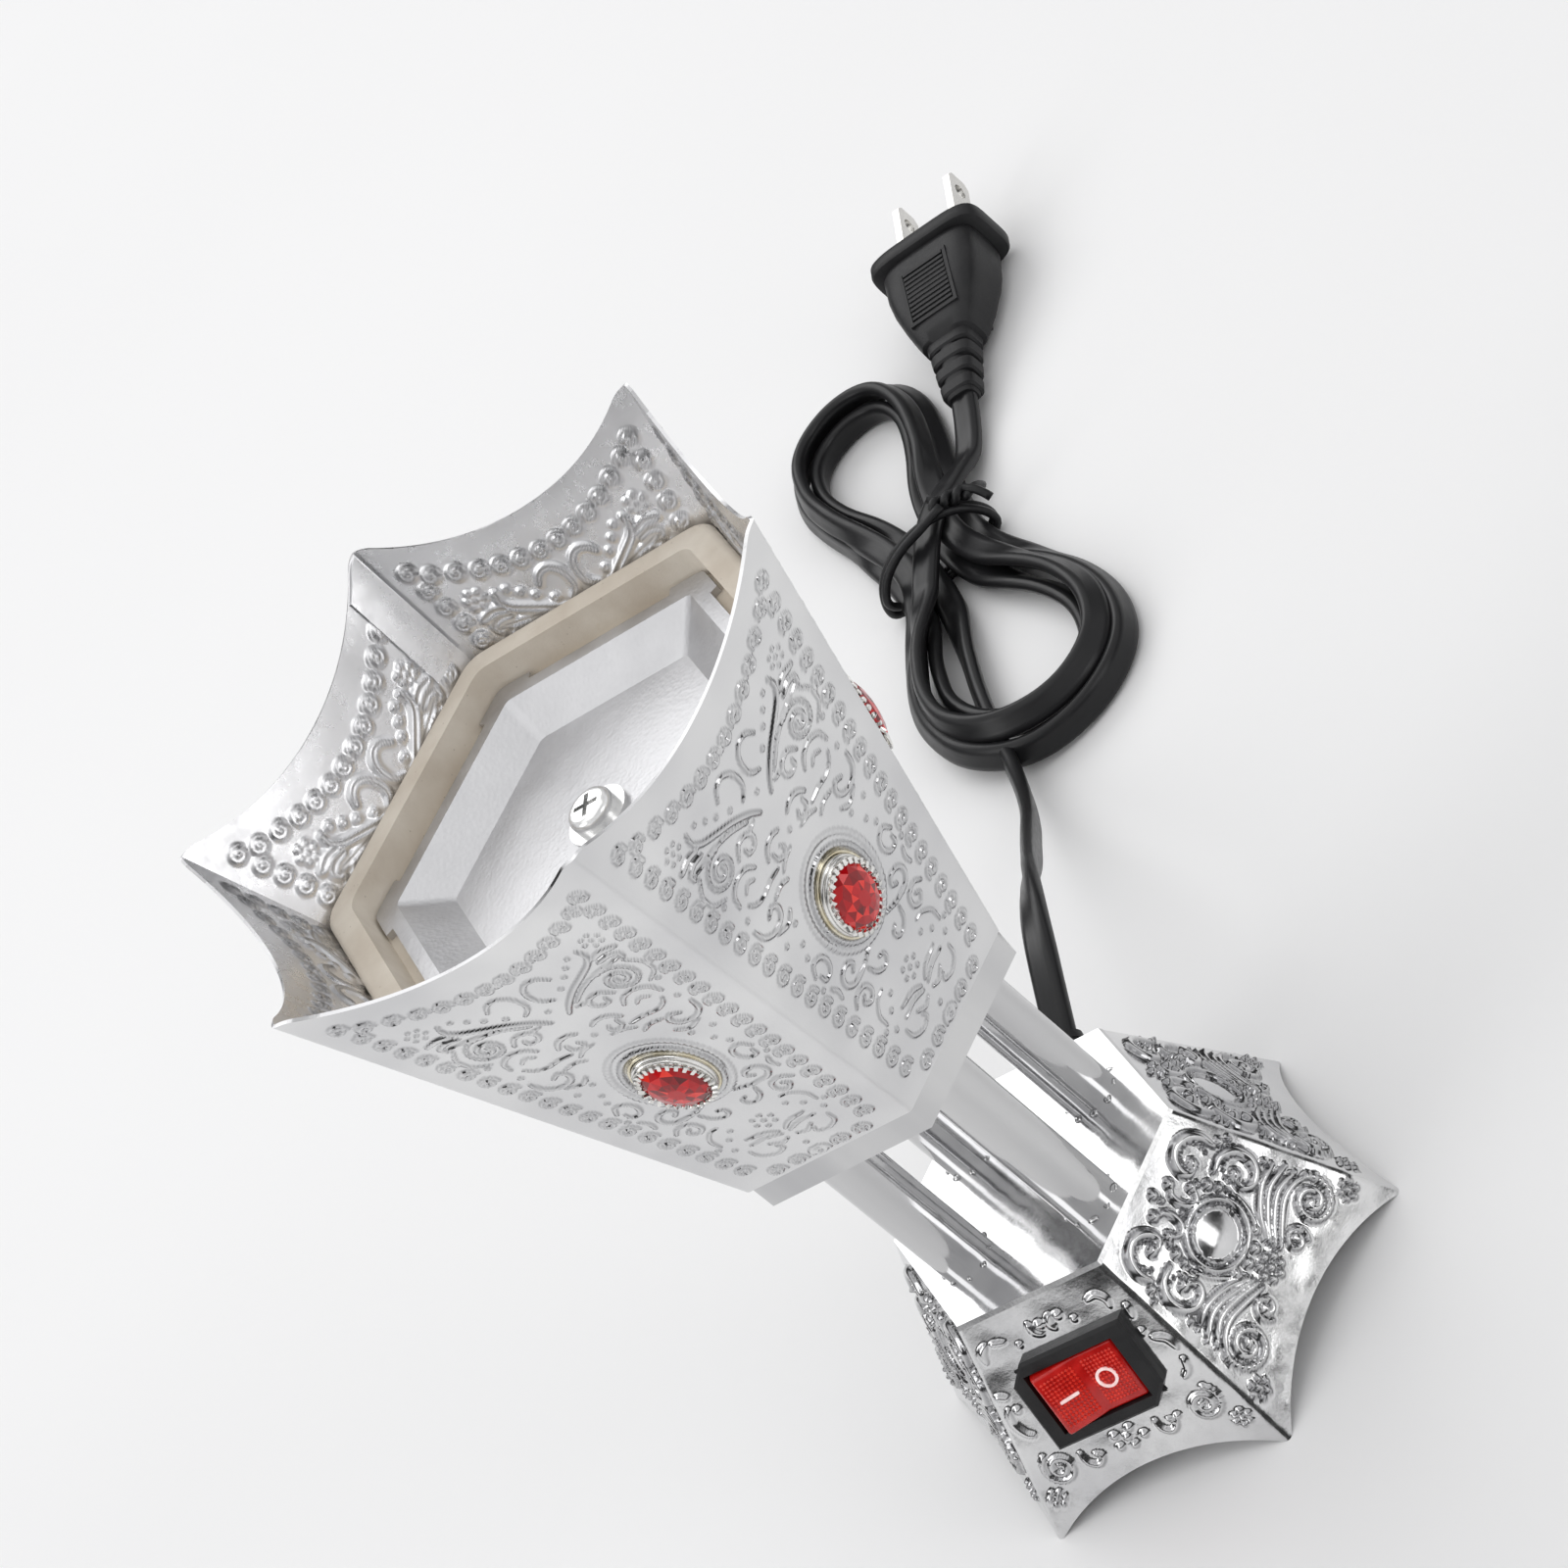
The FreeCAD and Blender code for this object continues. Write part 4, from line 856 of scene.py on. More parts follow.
class Relief:
    """Height of the pressed pattern over one side."""

    STEP = 0.1

    def __init__(self, half_width, height):
        self.xs = np.arange(-half_width, half_width + self.STEP, self.STEP)
        self.ss = np.arange(-1, height + self.STEP, self.STEP)
        self.field = np.zeros((len(self.ss), len(self.xs)))

    def press(self, points, radius, height, power=1.4, mirror=False):
        """Raises a round dome at every point, and at its mirror image."""
        points = np.asarray(points, float)
        if mirror:
            self.press(points * (-1, 1), radius, height, power)
        for (x, s), r in zip(points, np.broadcast_to(radius, len(points))):
            c0, c1 = (int((edge - self.xs[0]) / self.STEP) for edge in (x - r, x + r))
            r0, r1 = (int((edge - self.ss[0]) / self.STEP) for edge in (s - r, s + r))
            cols, rows = slice(max(c0, 0), c1 + 2), slice(max(r0, 0), r1 + 2)
            square = (self.xs[cols] - x)[None, :] ** 2 + (self.ss[rows] - s)[:, None] ** 2
            patch = self.field[rows, cols]
            near = np.clip(1 - square / (r * r), 0, None)
            np.maximum(patch, height * near ** power, out=patch)

    def line(self, points, radius, height, power=1.4, mirror=True, taper=0.35):
        """A pressed line that thins towards both ends."""
        line = smooth_line(points)
        f = np.linspace(0, 1, len(line))
        self.press(line, radius * (1 - taper * np.abs(2 * f - 1) ** 3), height, power, mirror)

    def dot(self, x, s, radius, height, power=0.9, mirror=True):
        self.press([(x, s)], radius, height, power, mirror)

    def flower(self, x, s, ring, bead, height, petals=6, mirror=True):
        self.dot(x, s, bead, height, mirror=mirror)
        for i in range(petals):
            t = 2 * math.pi * (i + 0.25) / petals
            self.dot(x + ring * math.cos(t), s + ring * math.sin(t), bead, height, mirror=mirror)

    def fade(self, weight):
        """Multiplies the pattern by a weight of (across, up the slope)."""
        self.field *= weight(*np.meshgrid(self.xs, self.ss))

    def at(self, x, s):
        col = np.clip((x - self.xs[0]) / self.STEP, 0, len(self.xs) - 1.001)
        row = np.clip((s - self.ss[0]) / self.STEP, 0, len(self.ss) - 1.001)
        c, r = col.astype(int), row.astype(int)
        fc, fr = col - c, row - r
        f = self.field
        return ((f[r, c] * (1 - fc) + f[r, c + 1] * fc) * (1 - fr)
                + (f[r + 1, c] * (1 - fc) + f[r + 1, c + 1] * fc) * fr)


BOWL_FIELD, FOOT_FIELD = (27, 84), (21.5, 38)
GEM_S, SWITCH_S, OUTLET_S = 32.5, 21.3, 26.9
# Small curls that edge a bowl side: rows beside its edges, along the mouth, and at the bottom.
ROW_X, ROW_SPREAD, ROW_S, ROW_STEP = 10.05, 0.1442, 5.3, 3.46
MOUTH_ROW_S, MOUTH_ROW_BEND, BOTTOM_ROW_S = 67.6, 58, 1.9
CURL_PLACES = [(ROW_X + ROW_SPREAD * s, s) for s in (ROW_S + ROW_STEP * i for i in range(20))]
CURL_PLACES += [(21.0, 74.9), (18.2, 72.9)]
CURL_PLACES += [(x, MOUTH_ROW_S + x * x / MOUTH_ROW_BEND) for x in (1.65, 4.95, 8.2, 11.4, 14.7)]
CURL_PLACES += [(x, BOTTOM_ROW_S) for x in (0.0, 3.9, 7.7)]

# Lines of the pattern: (half their width, their height, points).  A bowl or foot line has a
# mirror image; the lines round the switch have none.
BOWL_LINES = [
    (0.5, 0.42, [(5.4, 63.3), (4.3, 64.7), (2.7, 65), (1.3, 63.8), (0.8, 61.7), (1.3, 60.1),
        (2.5, 59.2)]),
    (0.6, 0.5, [(1.6, 55.2), (3.1, 57), (5.8, 59.2), (9, 61.1), (11.3, 62.6), (12.3, 64.2),
        (12.1, 65.7)]),
    (0.45, 0.36, [(4, 56.6), (7, 58.6), (10, 59.8), (12.8, 60.4), (14.9, 60.7)]),
    (0.7, 0.46, [(12.4, 62.8), (14.1, 63.4), (16.3, 63.1)]),
    (0.55, 0.42, [(12.2, 61.6), (14, 62), (15.5, 61.5), (15.4, 60.3)]),
    (0.4, 0.34, [(14.8, 59.8), (16.2, 57.6), (15.9, 55), (13.9, 53.4)]),
    (0.5, 0.4, [(8.7, 54.6), (7.4, 56.1), (5.6, 55.9), (4.8, 54.6), (5.5, 53.4), (6.9, 53.5),
        (7.1, 54.5)]),
    (0.45, 0.36, [(4.9, 55.4), (3.2, 55.7)]),
    (0.5, 0.4, [(13.2, 50.3), (12.7, 52.3), (10.8, 53.3), (8.8, 52.8), (7.6, 51.3)]),
    (0.4, 0.32, [(11.2, 50.4), (10, 51.1), (8.9, 50.3)]),
    (0.55, 0.42, [(5.5, 49.5), (4.4, 50.9), (2.8, 51.3), (1.4, 50.7)]),
    (0.45, 0.38, [(4.4, 49.3), (4.3, 48), (3.2, 47.3), (2.3, 48), (2.7, 48.9)]),
    (0.45, 0.38, [(5.2, 47.2), (7.4, 47.4), (9.6, 47.2), (11.2, 47.8), (12.1, 49)]),
    (0.55, 0.42, [(14.1, 45.6), (13.5, 43.3), (11.7, 42), (9.7, 42.4), (9, 43.8), (9.8, 44.9),
        (11.1, 44.3)]),
    (0.45, 0.36, [(8.5, 44.9), (6.6, 45.2), (5.1, 44.5)]),
    (0.4, 0.34, [(4.9, 45.9), (3.5, 46.7), (1.6, 47)]),
    (0.5, 0.38, [(7.9, 41.4), (9.4, 40.4), (11.6, 41.2)]),
    (0.5, 0.4, [(11.9, 30.6), (10.9, 32.2), (9.4, 31.8), (8.8, 30.2), (9.5, 28.6), (10.9, 28.5),
        (11.2, 29.8)]),
    (0.55, 0.42, [(2.8, 23.6), (5.4, 22.8), (8, 22.9), (9.2, 24.3), (8.7, 25.9), (7.1, 26.3),
        (6.2, 25.2), (7, 24.4)]),
    (0.45, 0.36, [(11.3, 26.8), (10.7, 25.3), (10.9, 23.8)]),
    (0.5, 0.4, [(10.3, 20.2), (9.1, 21.4), (7.2, 21), (6.7, 19.2), (7.9, 18.2), (8.9, 19.2),
        (8.2, 20)]),
    (0.45, 0.4, [(4.9, 21.8), (4.3, 19.9), (3, 18.9), (1.8, 19.2), (1.6, 20.4), (2.5, 20.9)]),
    (0.4, 0.34, [(8.5, 12.9), (8.5, 15.2), (7.1, 17), (5.6, 17.3)]),
    (0.5, 0.38, [(0.6, 10.1), (2.2, 11.3), (5, 11.8)]),
    (0.45, 0.34, [(0.7, 9.2), (3, 10.1), (5.6, 10)]),
    (0.45, 0.34, [(3.7, 8.4), (2.2, 7.3), (0.8, 7.8)]),
    (0.45, 0.34, [(6.9, 8.7), (6.5, 6.7), (4.7, 5.6), (3, 6.1), (3.3, 7.2)]),
]
BOWL_DOTS = [
    (10.2, 65.3), (8.6, 63.8), (7, 62.3), (4.8, 60.5), (14.9, 53), (13.7, 47.8), (8.7, 39.2),
    (11.9, 38.6), (9.9, 36), (4.9, 15.3), (7.9, 10.7), (6.6, 13.5), (10.8, 33.9), (12.3, 28),
    (9.4, 12.4),
]


def press_bowl_pattern(relief, widen, lift, power):
    for radius, height, points in BOWL_LINES:
        relief.line(points, radius * widen, height * lift, power)
    spiral = curl(11.6, 56.7, 3.2, 0.5, 115, -1.9)
    relief.press(spiral, 0.5 * widen, 0.44 * lift, power, mirror=True)
    for x, s in BOWL_DOTS + [(0, 57.6), (0, 48.6), (0, 4.9)]:
        relief.dot(x, s, 0.5 * widen, 0.40 * lift)
    relief.flower(15.2, 66.3, 1.35, 0.42 * widen, 0.36 * lift)
    relief.flower(0, 14.0, 1.6, 0.46 * widen, 0.40 * lift, mirror=False)


def bowl_outer_relief():
    relief = Relief(*BOWL_FIELD)
    press_bowl_pattern(relief, 1.0, 1.0, 1.3)
    for x, s in CURL_PLACES:
        relief.press(curl(x, s, 1.5, 0.35, 200, -1.45), 0.42, 0.36, 1.3, mirror=True)
    relief.press(oval_line(GEM_S + 0.9, 7.3, 9.7), 0.7, 0.34, 1.2)
    relief.press(oval_line(GEM_S + 0.4, 5.9, 8.2), 0.6, 0.55, 1.0)
    return relief


def bowl_inner_relief():
    """Seen from inside, the pattern stands up as soft domes with the lines sunk in their tops."""
    domes, lines = Relief(*BOWL_FIELD), Relief(*BOWL_FIELD)
    press_bowl_pattern(domes, 2.0, 1.15, 0.8)
    press_bowl_pattern(lines, 0.8, 0.55, 1.4)
    for x, s in CURL_PLACES:
        domes.dot(x, s, 1.68, 0.52, 0.75)
        lines.press(curl(x, s, 1.25, 0.2, 200, -1.5), 0.36, 0.26, 1.4, mirror=True)
    domes.field -= lines.field
    return domes


FOOT_LINES = [
    (0.95, 0.95, [(11.2, 29), (11.3, 31.3), (10.2, 33.2), (8.2, 34.1), (6.3, 33.6), (5.2, 32),
        (5.4, 30.6), (6.6, 30.2)]),
    (0.7, 0.75, [(4, 29), (2.7, 27.9), (1.5, 28.6), (1.1, 30.2), (1.4, 31.6), (2.4, 32.2)]),
    (0.95, 0.95, [(7.9, 27.4), (10.3, 27.4), (12.2, 25.8), (12.5, 23.4), (11.3, 21.6), (9.4, 21.2),
        (8.1, 22.3), (8.4, 23.8)]),
    (0.5, 0.55, [(6.6, 24.6), (6.2, 21.6), (4.8, 18.8), (2.8, 16)]),
    (0.7, 0.85, [(3.2, 15.9), (6.2, 18.4), (10.2, 19.9), (13.7, 19.6)]),
    (0.7, 0.85, [(3, 15), (6.4, 17.2), (10.4, 18.6), (14.6, 17.7)]),
    (0.7, 0.85, [(2.9, 14.1), (6.6, 16.1), (10.6, 17.2), (14.6, 16)]),
    (0.7, 0.85, [(3.1, 13.2), (7, 14.9), (9.9, 15.8), (12.6, 15.5), (15.2, 13.9)]),
]
FOOT_BEADS = [(7.2, 30.7, 1.1), (4.1, 29.4, 0.95), (2.7, 32.6, 1.0), (9.2, 24.2, 1.1),
              (5.7, 27.2, 0.95), (6.2, 25.6, 0.75), (12.2, 28.4, 0.85), (13.4, 27.3, 0.6),
              (1.2, 16.7, 1.0), (3.6, 17.9, 1.0), (11.8, 11.8, 0.8), (5.7, 11.4, 0.6),
              (13.2, 20.9, 0.6), (5.0, 28.7, 0.6)]
SWITCH_LINES = [
    (0.8, 0.5, [(-2.9, 33.2), (-2.7, 31.8), (-1.7, 30.9)]),
    (0.8, 0.5, [(0.9, 33.2), (0.2, 31.9), (0.6, 30.9)]),
    (0.8, 0.5, [(-12.3, 30.4), (-12, 32), (-10.8, 33)]),
    (0.6, 0.4, [(-9.9, 32.8), (-7.8, 32.2)]),
    (0.7, 0.5, [(7.5, 32.8), (9.1, 33), (10.1, 31.8), (10, 30.5)]),
    (0.7, 0.45, [(12.2, 29.6), (12, 27.6)]),
    (0.8, 0.5, [(-14.6, 24.8), (-13.1, 24)]),
    (0.8, 0.5, [(-14.3, 22.2), (-15, 20), (-14.3, 17.8), (-13.2, 16.9)]),
    (0.8, 0.5, [(12.6, 23.4), (14.3, 22.3), (14.9, 20.3)]),
    (0.7, 0.45, [(14.6, 18.4), (14.2, 16.6), (12.9, 15.6)]),
    (0.6, 0.5, [(-8.9, 11.4), (-8.6, 9.5), (-7.2, 8.6), (-6, 9.6), (-6.9, 10.5)]),
    (0.6, 0.5, [(4.6, 11.4), (4.9, 9.6), (6.2, 8.8), (7.4, 9.8), (6.6, 10.8)]),
]
SWITCH_DOTS = [
    (-1.3, 32.4, 0.9), (2.1, 32.6, 0.9), (-6, 30.8, 0.6), (4, 31, 0.6), (-13, 21.6, 0.8),
    (11.6, 24.8, 0.8), (-2.4, 11.7, 0.8), (0.4, 12, 0.8), (1.9, 10.1, 0.8), (-2.6, 9.7, 0.8),
    (-0.4, 9.2, 0.8), (-0.7, 10.8, 0.8), (8.2, 10.6, 0.6),
]


def foot_relief():
    relief = Relief(*FOOT_FIELD)
    for radius, height, points in FOOT_LINES:
        relief.line(points, radius, height, 0.85, taper=0.45)
    relief.press(curl(11.9, 11.8, 3.7, 0.7, 35, -1.7), 0.75, 0.85, 0.85, mirror=True)
    relief.press(curl(5.6, 11.5, 2.0, 0.5, -60, 1.45), 0.5, 0.65, 0.85, mirror=True)
    for x, s, radius in FOOT_BEADS:
        relief.dot(x, s, radius, 0.95)
    for s, radius in ((34.1, 0.9), (32.6, 0.6), (29.0, 0.6)):
        relief.dot(0, s, radius, 0.9, mirror=False)
    for centre_x, centre_s in ((8.2, 31.0), (10.0, 24.3)):
        for degrees in range(-40, 190, 27):
            t = math.radians(degrees)
            relief.dot(centre_x + 2.1 * math.cos(t), centre_s + 2.1 * math.sin(t), 0.36, 0.85)
    relief.press(oval_line(22.9, 5.3, 4.9), 0.62, 0.85, 0.8)
    relief.press(oval_line(22.9, 4.15, 3.8), 0.42, 0.6, 0.9)
    relief.press([(0, 22.9)], 3.9, 0.55, 0.9)
    relief.flower(0, 13.3, 1.75, 0.8, 0.9, 7, mirror=False)
    relief.flower(16.4, 7.3, 1.35, 0.62, 0.75)
    return relief


def switch_side_relief():
    relief = Relief(*FOOT_FIELD)
    for radius, height, points in SWITCH_LINES:
        relief.line(points, radius, height, 0.9, mirror=False, taper=0.5)
    for x, s, radius in SWITCH_DOTS:
        relief.dot(x, s, radius, 0.5, mirror=False)
    relief.press(curl(13.0, 10.6, 2.9, 0.5, 60, -1.9), 0.6, 0.5, 0.9, mirror=True)
    relief.flower(16.6, 6.2, 1.2, 0.52, 0.55)
    return relief


# ---- sheet sides --------------------------------------------------------------------------
FOLD_REACH, FOLD_ROUND = 0.55, 1.1
CLOSE_TO_CORNER = np.array([0.985, 0.993])
MOUTH_ARC_S, MOUTH_ARC_R = 74.3, 44.0
TIP_START, TIP_WIDTH = 23.0, 2.9
FOOT_ARC_R, FOOT_ARC_RISE = 37.9, 5.7
WINDOW_HALF, OUTLET_HALF = (9.45, 6.35), (3.9, 2.7)
SLOPE_STEP, SLOPE_START, SLOPE_MOST = 0.12, 0.12, 0.75
SEAM_S, SEAM_TALL, SEAM_WIDTH, SEAM_IN = 61.6, 17, 5.8, 0.7
SEAM_BOW, SEAM_SKINS = 0.10, (-0.52, -1.02)
BOWL_MITRE, FOOT_MITRE = 0.28, 0.27
# How far the pattern shows on a foot side's back, and how much painted shade darkens the flanks of
# a pattern.
FOOT_BACK, BOWL_FLANK_SHADE, FOOT_FLANK_SHADE = 0.8, 0.55, 0.45
# Plain sheet round the switch and round the cord's outlet.
SWITCH_CLEAR, OUTLET_CLEAR, OUTLET_FADE, OUTLET_WIDER = (10.9, 8.0), 4.6, 2.0, 1.2
BOWL_STEPS, FOOT_STEPS = ((60, 100), (158, 268)), ((50, 50), (128, 116))
LOWEST_INSIDE, LOOKS_IN = 0.45 * SHEET, 0.2


def bowl_top_edge(x):
    """Scalloped mouth, with its tips rounded over."""
    x = np.abs(x)
    edge = MOUTH_ARC_S + MOUTH_ARC_R - np.sqrt(MOUTH_ARC_R ** 2 - np.minimum(x, TIP_START) ** 2)
    past = np.clip(x - TIP_START, 0, TIP_WIDTH)
    rise = TIP_START / math.sqrt(MOUTH_ARC_R ** 2 - TIP_START ** 2)
    return edge + rise * past - rise * past ** 2 / (2 * TIP_WIDTH)


def foot_low_edge(x):
    return np.maximum(np.sqrt(FOOT_ARC_R ** 2 - x ** 2) - (FOOT_ARC_R - FOOT_ARC_RISE), 0.0)


def closed_sheet(name, front, back, sharp_angle, keep=None):
    """Mesh of two skins of points, closed round its edges and where a face isn't kept."""
    rows, cols = front.shape[:2]
    total = rows * cols
    number = np.arange(total).reshape(rows, cols)
    if keep is None:
        keep = np.ones((rows - 1, cols - 1), bool)
    a, b, c, d = number[:-1, :-1], number[:-1, 1:], number[1:, 1:], number[1:, :-1]
    faces = [np.stack([a, b, c, d], -1)[keep], np.stack([d, c, b, a], -1)[keep] + total]
    padded = np.pad(keep, 1)
    for p, q, beyond in ((a, b, padded[:-2, 1:-1]), (b, c, padded[1:-1, 2:]),
                         (c, d, padded[2:, 1:-1]), (d, a, padded[1:-1, :-2])):
        faces.append(np.stack([p, p + total, q + total, q], -1)[keep & ~beyond])
    used, corners = np.unique(np.vstack(faces), return_inverse=True)
    vertices = np.vstack([front.reshape(-1, 3), back.reshape(-1, 3)])[used]
    mesh = bpy.data.meshes.new(name)
    mesh.vertices.add(len(vertices))
    mesh.vertices.foreach_set("co", vertices.astype(np.float32).ravel())
    mesh.loops.add(corners.size)
    mesh.loops.foreach_set("vertex_index", corners.astype(np.int32).ravel())
    mesh.polygons.add(corners.size // 4)
    mesh.polygons.foreach_set("loop_start", np.arange(0, corners.size, 4, dtype=np.int32))
    mesh.update(calc_edges=True)
    mesh.validate()
    smooth(mesh, sharp_angle)
    return mesh


def pressed_side(name, side, edges, outer, inner, mitre, counts, opening=None):
    """Double-walled sheet of one side; edges gives its lower and upper line."""
    across, up = counts
    even = np.linspace(-1, 1, across + 1)
    steps = np.unique(np.concatenate([even, CLOSE_TO_CORNER, -CLOSE_TO_CORNER]))
    turn, rise = np.meshgrid(steps, np.linspace(0, 1, up + 1))
    s = rise * side.slant
    for _ in range(30):
        low, high = edges(turn * side.half_width(s))
        s = low + (high - low) * rise
    half = side.half_width(s)
    x = turn * half
    fold = -np.clip(FOLD_REACH - (half - np.abs(x)), 0, None) ** 2 / (2 * FOLD_ROUND)
    front = np.stack([x, s, outer(x, s) + fold], -1)
    inside_x = x * (half - mitre) / half
    inside_s = np.maximum(s, LOWEST_INSIDE)
    back = np.stack([inside_x, inside_s, -SHEET + inner(inside_x, s)], -1)
    keep = None
    if opening:
        keep = ~opening((x[:-1, :-1] + x[1:, 1:]) / 2, (s[:-1, :-1] + s[1:, 1:]) / 2)
    return closed_sheet(name, front, back, 50, keep)


def mark_painted_flank_shade(mesh, relief, strength):
    """Stores how steep the pattern is at each point, as painted shade that darkens its flanks."""
    at = np.zeros(len(mesh.vertices) * 3, np.float32)
    mesh.vertices.foreach_get("co", at)
    x, s = at.reshape(-1, 3)[:, :2].astype(float).T
    across = relief.at(x + SLOPE_STEP, s) - relief.at(x - SLOPE_STEP, s)
    up = relief.at(x, s + SLOPE_STEP) - relief.at(x, s - SLOPE_STEP)
    steep = np.hypot(across, up) / (2 * SLOPE_STEP) - SLOPE_START
    layer = mesh.attributes.new("painted_flank_shade", "FLOAT", "POINT")
    layer.data.foreach_set("value", np.clip(steep * strength, 0, SLOPE_MOST).astype(np.float32))


def finish_side(name, side, angle, mesh, stands_for):
    """Bright sheet outside and satin inside: a face is inside if it looks back at the axis."""
    mesh.materials.append(FINISHES["silver_sheet"])
    mesh.materials.append(FINISHES["satin_sheet"])
    normals = np.zeros(len(mesh.polygons) * 3, np.float32)
    mesh.polygons.foreach_get("normal", normals)
    inside = (normals.reshape(-1, 3)[:, 2] < LOOKS_IN).astype(np.int32)
    mesh.polygons.foreach_set("material_index", inside)
    mesh.transform(side.frame(angle))
    fit(name, mesh, "silver_sheet", (stands_for,))


def make_bowl_sides():
    outer, inner = bowl_outer_relief(), bowl_inner_relief()
    counts = BOWL_STEPS[1]
    pattern = pressed_side("bowl_side", BOWL, lambda x: (0.0 * x, bowl_top_edge(x)), outer.at,
                           lambda x, s: -inner.at(x, s), BOWL_MITRE, counts)
    mark_painted_flank_shade(pattern, outer, BOWL_FLANK_SHADE)
    for k, angle in enumerate(SIDE_ANGLES):
        name = "bowl_side_%d" % (k + 1)
        mesh = pattern.copy()
        mesh.name = name
        finish_side(name, BOWL, angle, mesh, "bowl_shell")


def beside_switch(x, s):
    """0 round the switch and 1 away from it."""
    half_width, half_height = SWITCH_CLEAR
    return np.clip(np.maximum(np.abs(x) - half_width, np.abs(s - SWITCH_S) - half_height), 0, 1)


def beside_outlet(x, s):
    """0 round the cord's outlet and 1 away from it."""
    away = np.hypot(x / OUTLET_WIDER, s - OUTLET_S)
    return np.clip((away - OUTLET_CLEAR) / OUTLET_FADE, 0, 1)


def window(x, s):
    return (np.abs(x) < WINDOW_HALF[0]) & (np.abs(s - SWITCH_S) < WINDOW_HALF[1])


def outlet(x, s):
    return (x / OUTLET_HALF[0]) ** 2 + ((s - OUTLET_S) / OUTLET_HALF[1]) ** 2 < 1


def make_foot_sides():
    counts = FOOT_STEPS[1]
    patterns = {SWITCH_ANGLE: (switch_side_relief(), window), CORD_ANGLE: (foot_relief(), outlet)}
    patterns[SWITCH_ANGLE][0].fade(beside_switch)
    patterns[CORD_ANGLE][0].fade(beside_outlet)
    plain_side = (foot_relief(), None)
    for k, angle in enumerate(SIDE_ANGLES):
        name = "foot_side_%d" % (k + 1)
        relief, opening = patterns.get(angle, plain_side)
        mesh = pressed_side(name, FOOT, lambda x: (foot_low_edge(x), 0.0 * x + FOOT.slant),
                            relief.at, lambda x, s: FOOT_BACK * relief.at(x, s), FOOT_MITRE,
                            counts, opening)
        mark_painted_flank_shade(mesh, relief, FOOT_FLANK_SHADE)
        finish_side(name, FOOT, angle, mesh, "base_skirt")


def make_seam():
    """Overlap of the rolled sheet's two ends, inside one corner of the bowl."""
    rise, turn = np.meshgrid(np.linspace(0, 1, 30), np.linspace(0, 1, 14), indexing="ij")
    s = SEAM_S + rise * SEAM_TALL
    for _ in range(10):
        x = SEAM_IN + SEAM_WIDTH * turn - BOWL.half_width(s)
        s = SEAM_S + rise * (bowl_top_edge(x) - SHEET / 2 - SEAM_S)
    bow = SEAM_BOW * np.sin(math.pi * turn)
    front, back = (np.stack([x, s, level - bow], -1) for level in SEAM_SKINS)
    mesh = closed_sheet("bowl_seam", front, back, 40)
    mesh.transform(BOWL.frame(SEAM_ANGLE))
    fit("bowl_seam", mesh, "silver_sheet", ("bowl_shell",), "satin_sheet")


make_bowl_sides()
make_foot_sides()
make_seam()


# ---- stones and settings ------------------------------------------------------------------
CLAW_LEAN = 0.6
CLAWS = {"Prongs": 28, "Half Width": 4.3, "Half Height": 6.2, "Rise": 1.85, "Claw Width": 0.60,
         "Claw Reach": 1.0}
# Bands of a setting, under and inside its claws: half width, half height, rise and thickness.
SILVER_BANDS = [(4.35, 6.35, 1.1, 0.42), (4.5, 6.5, 0.5, 0.5), (3.75, 5.45, 1.2, 0.45)]
GILT_BAND = (5.1, 7.3, 0.12, 0.28)
BAND_SIZES = ("Half Width", "Half Height", "Rise", "Thickness")
STONE_HALF_WIDTH, STONE_HALF_HEIGHT = 3.95, 5.65
# Rows of a stone's corners: their share of its girdle, their height, and half a step's turn.
STONE_ROWS = [(1.0, 0.6, 0.0), (1.0, 1.75, 0.0), (0.82, 2.5, 0.5), (0.54, 2.95, 0.0),
              (0.26, 3.15, 0.5)]
STONE_CORNERS = 12


def make_settings():
    silver, gilt = FINISHES["setting_silver"], FINISHES["gilt_rim"]
    silver_band, gilt_band = wall_tree(silver), wall_tree(gilt)
    parts = [grown("claws", prong_tree(silver), CLAWS, silver)]
    for sizes in SILVER_BANDS:
        parts.append(grown("silver_band", silver_band, dict(zip(BAND_SIZES, sizes)), silver))
    parts.append(grown("gilt_band", gilt_band, dict(zip(BAND_SIZES, GILT_BAND)), gilt))
    setting = merged("gem_setting", parts, 45)
    for k, angle in enumerate(SIDE_ANGLES):
        name = "gem_setting_%d" % (k + 1)
        mesh = setting.copy()
        mesh.name = name
        mesh.transform(to_millimetres(BOWL.frame(angle) @ moved(0, GEM_S, 0)))
        fit(name, mesh, "setting_silver", ("gem_bezel_%d" % (k + 1),))


def cut_stone():
    """Oval rose cut: straight girdle, three rows of crown facets and a small table."""
    count = STONE_CORNERS
    vertices = []
    for scale, rise, shift in STONE_ROWS:
        for i in range(count):
            t = 2 * math.pi * (i + shift) / count
            vertices.append((STONE_HALF_WIDTH * scale * math.cos(t),
                             GEM_S + STONE_HALF_HEIGHT * scale * math.sin(t), rise))
    faces = [tuple(reversed(range(count)))]
    for k in range(len(STONE_ROWS) - 1):
        for i in range(count):
            a, b = k * count + i, k * count + (i + 1) % count
            up_a, up_b = a + count, b + count
            if k == 0:
                faces.append((a, b, up_b, up_a))
            elif STONE_ROWS[k + 1][2] > STONE_ROWS[k][2]:
                faces += [(a, b, up_a), (b, up_b, up_a)]
            else:
                faces += [(a, b, up_b), (a, up_b, up_a)]
    last = (len(STONE_ROWS) - 1) * count
    faces.append(tuple(range(last, last + count)))
    return vertices, faces


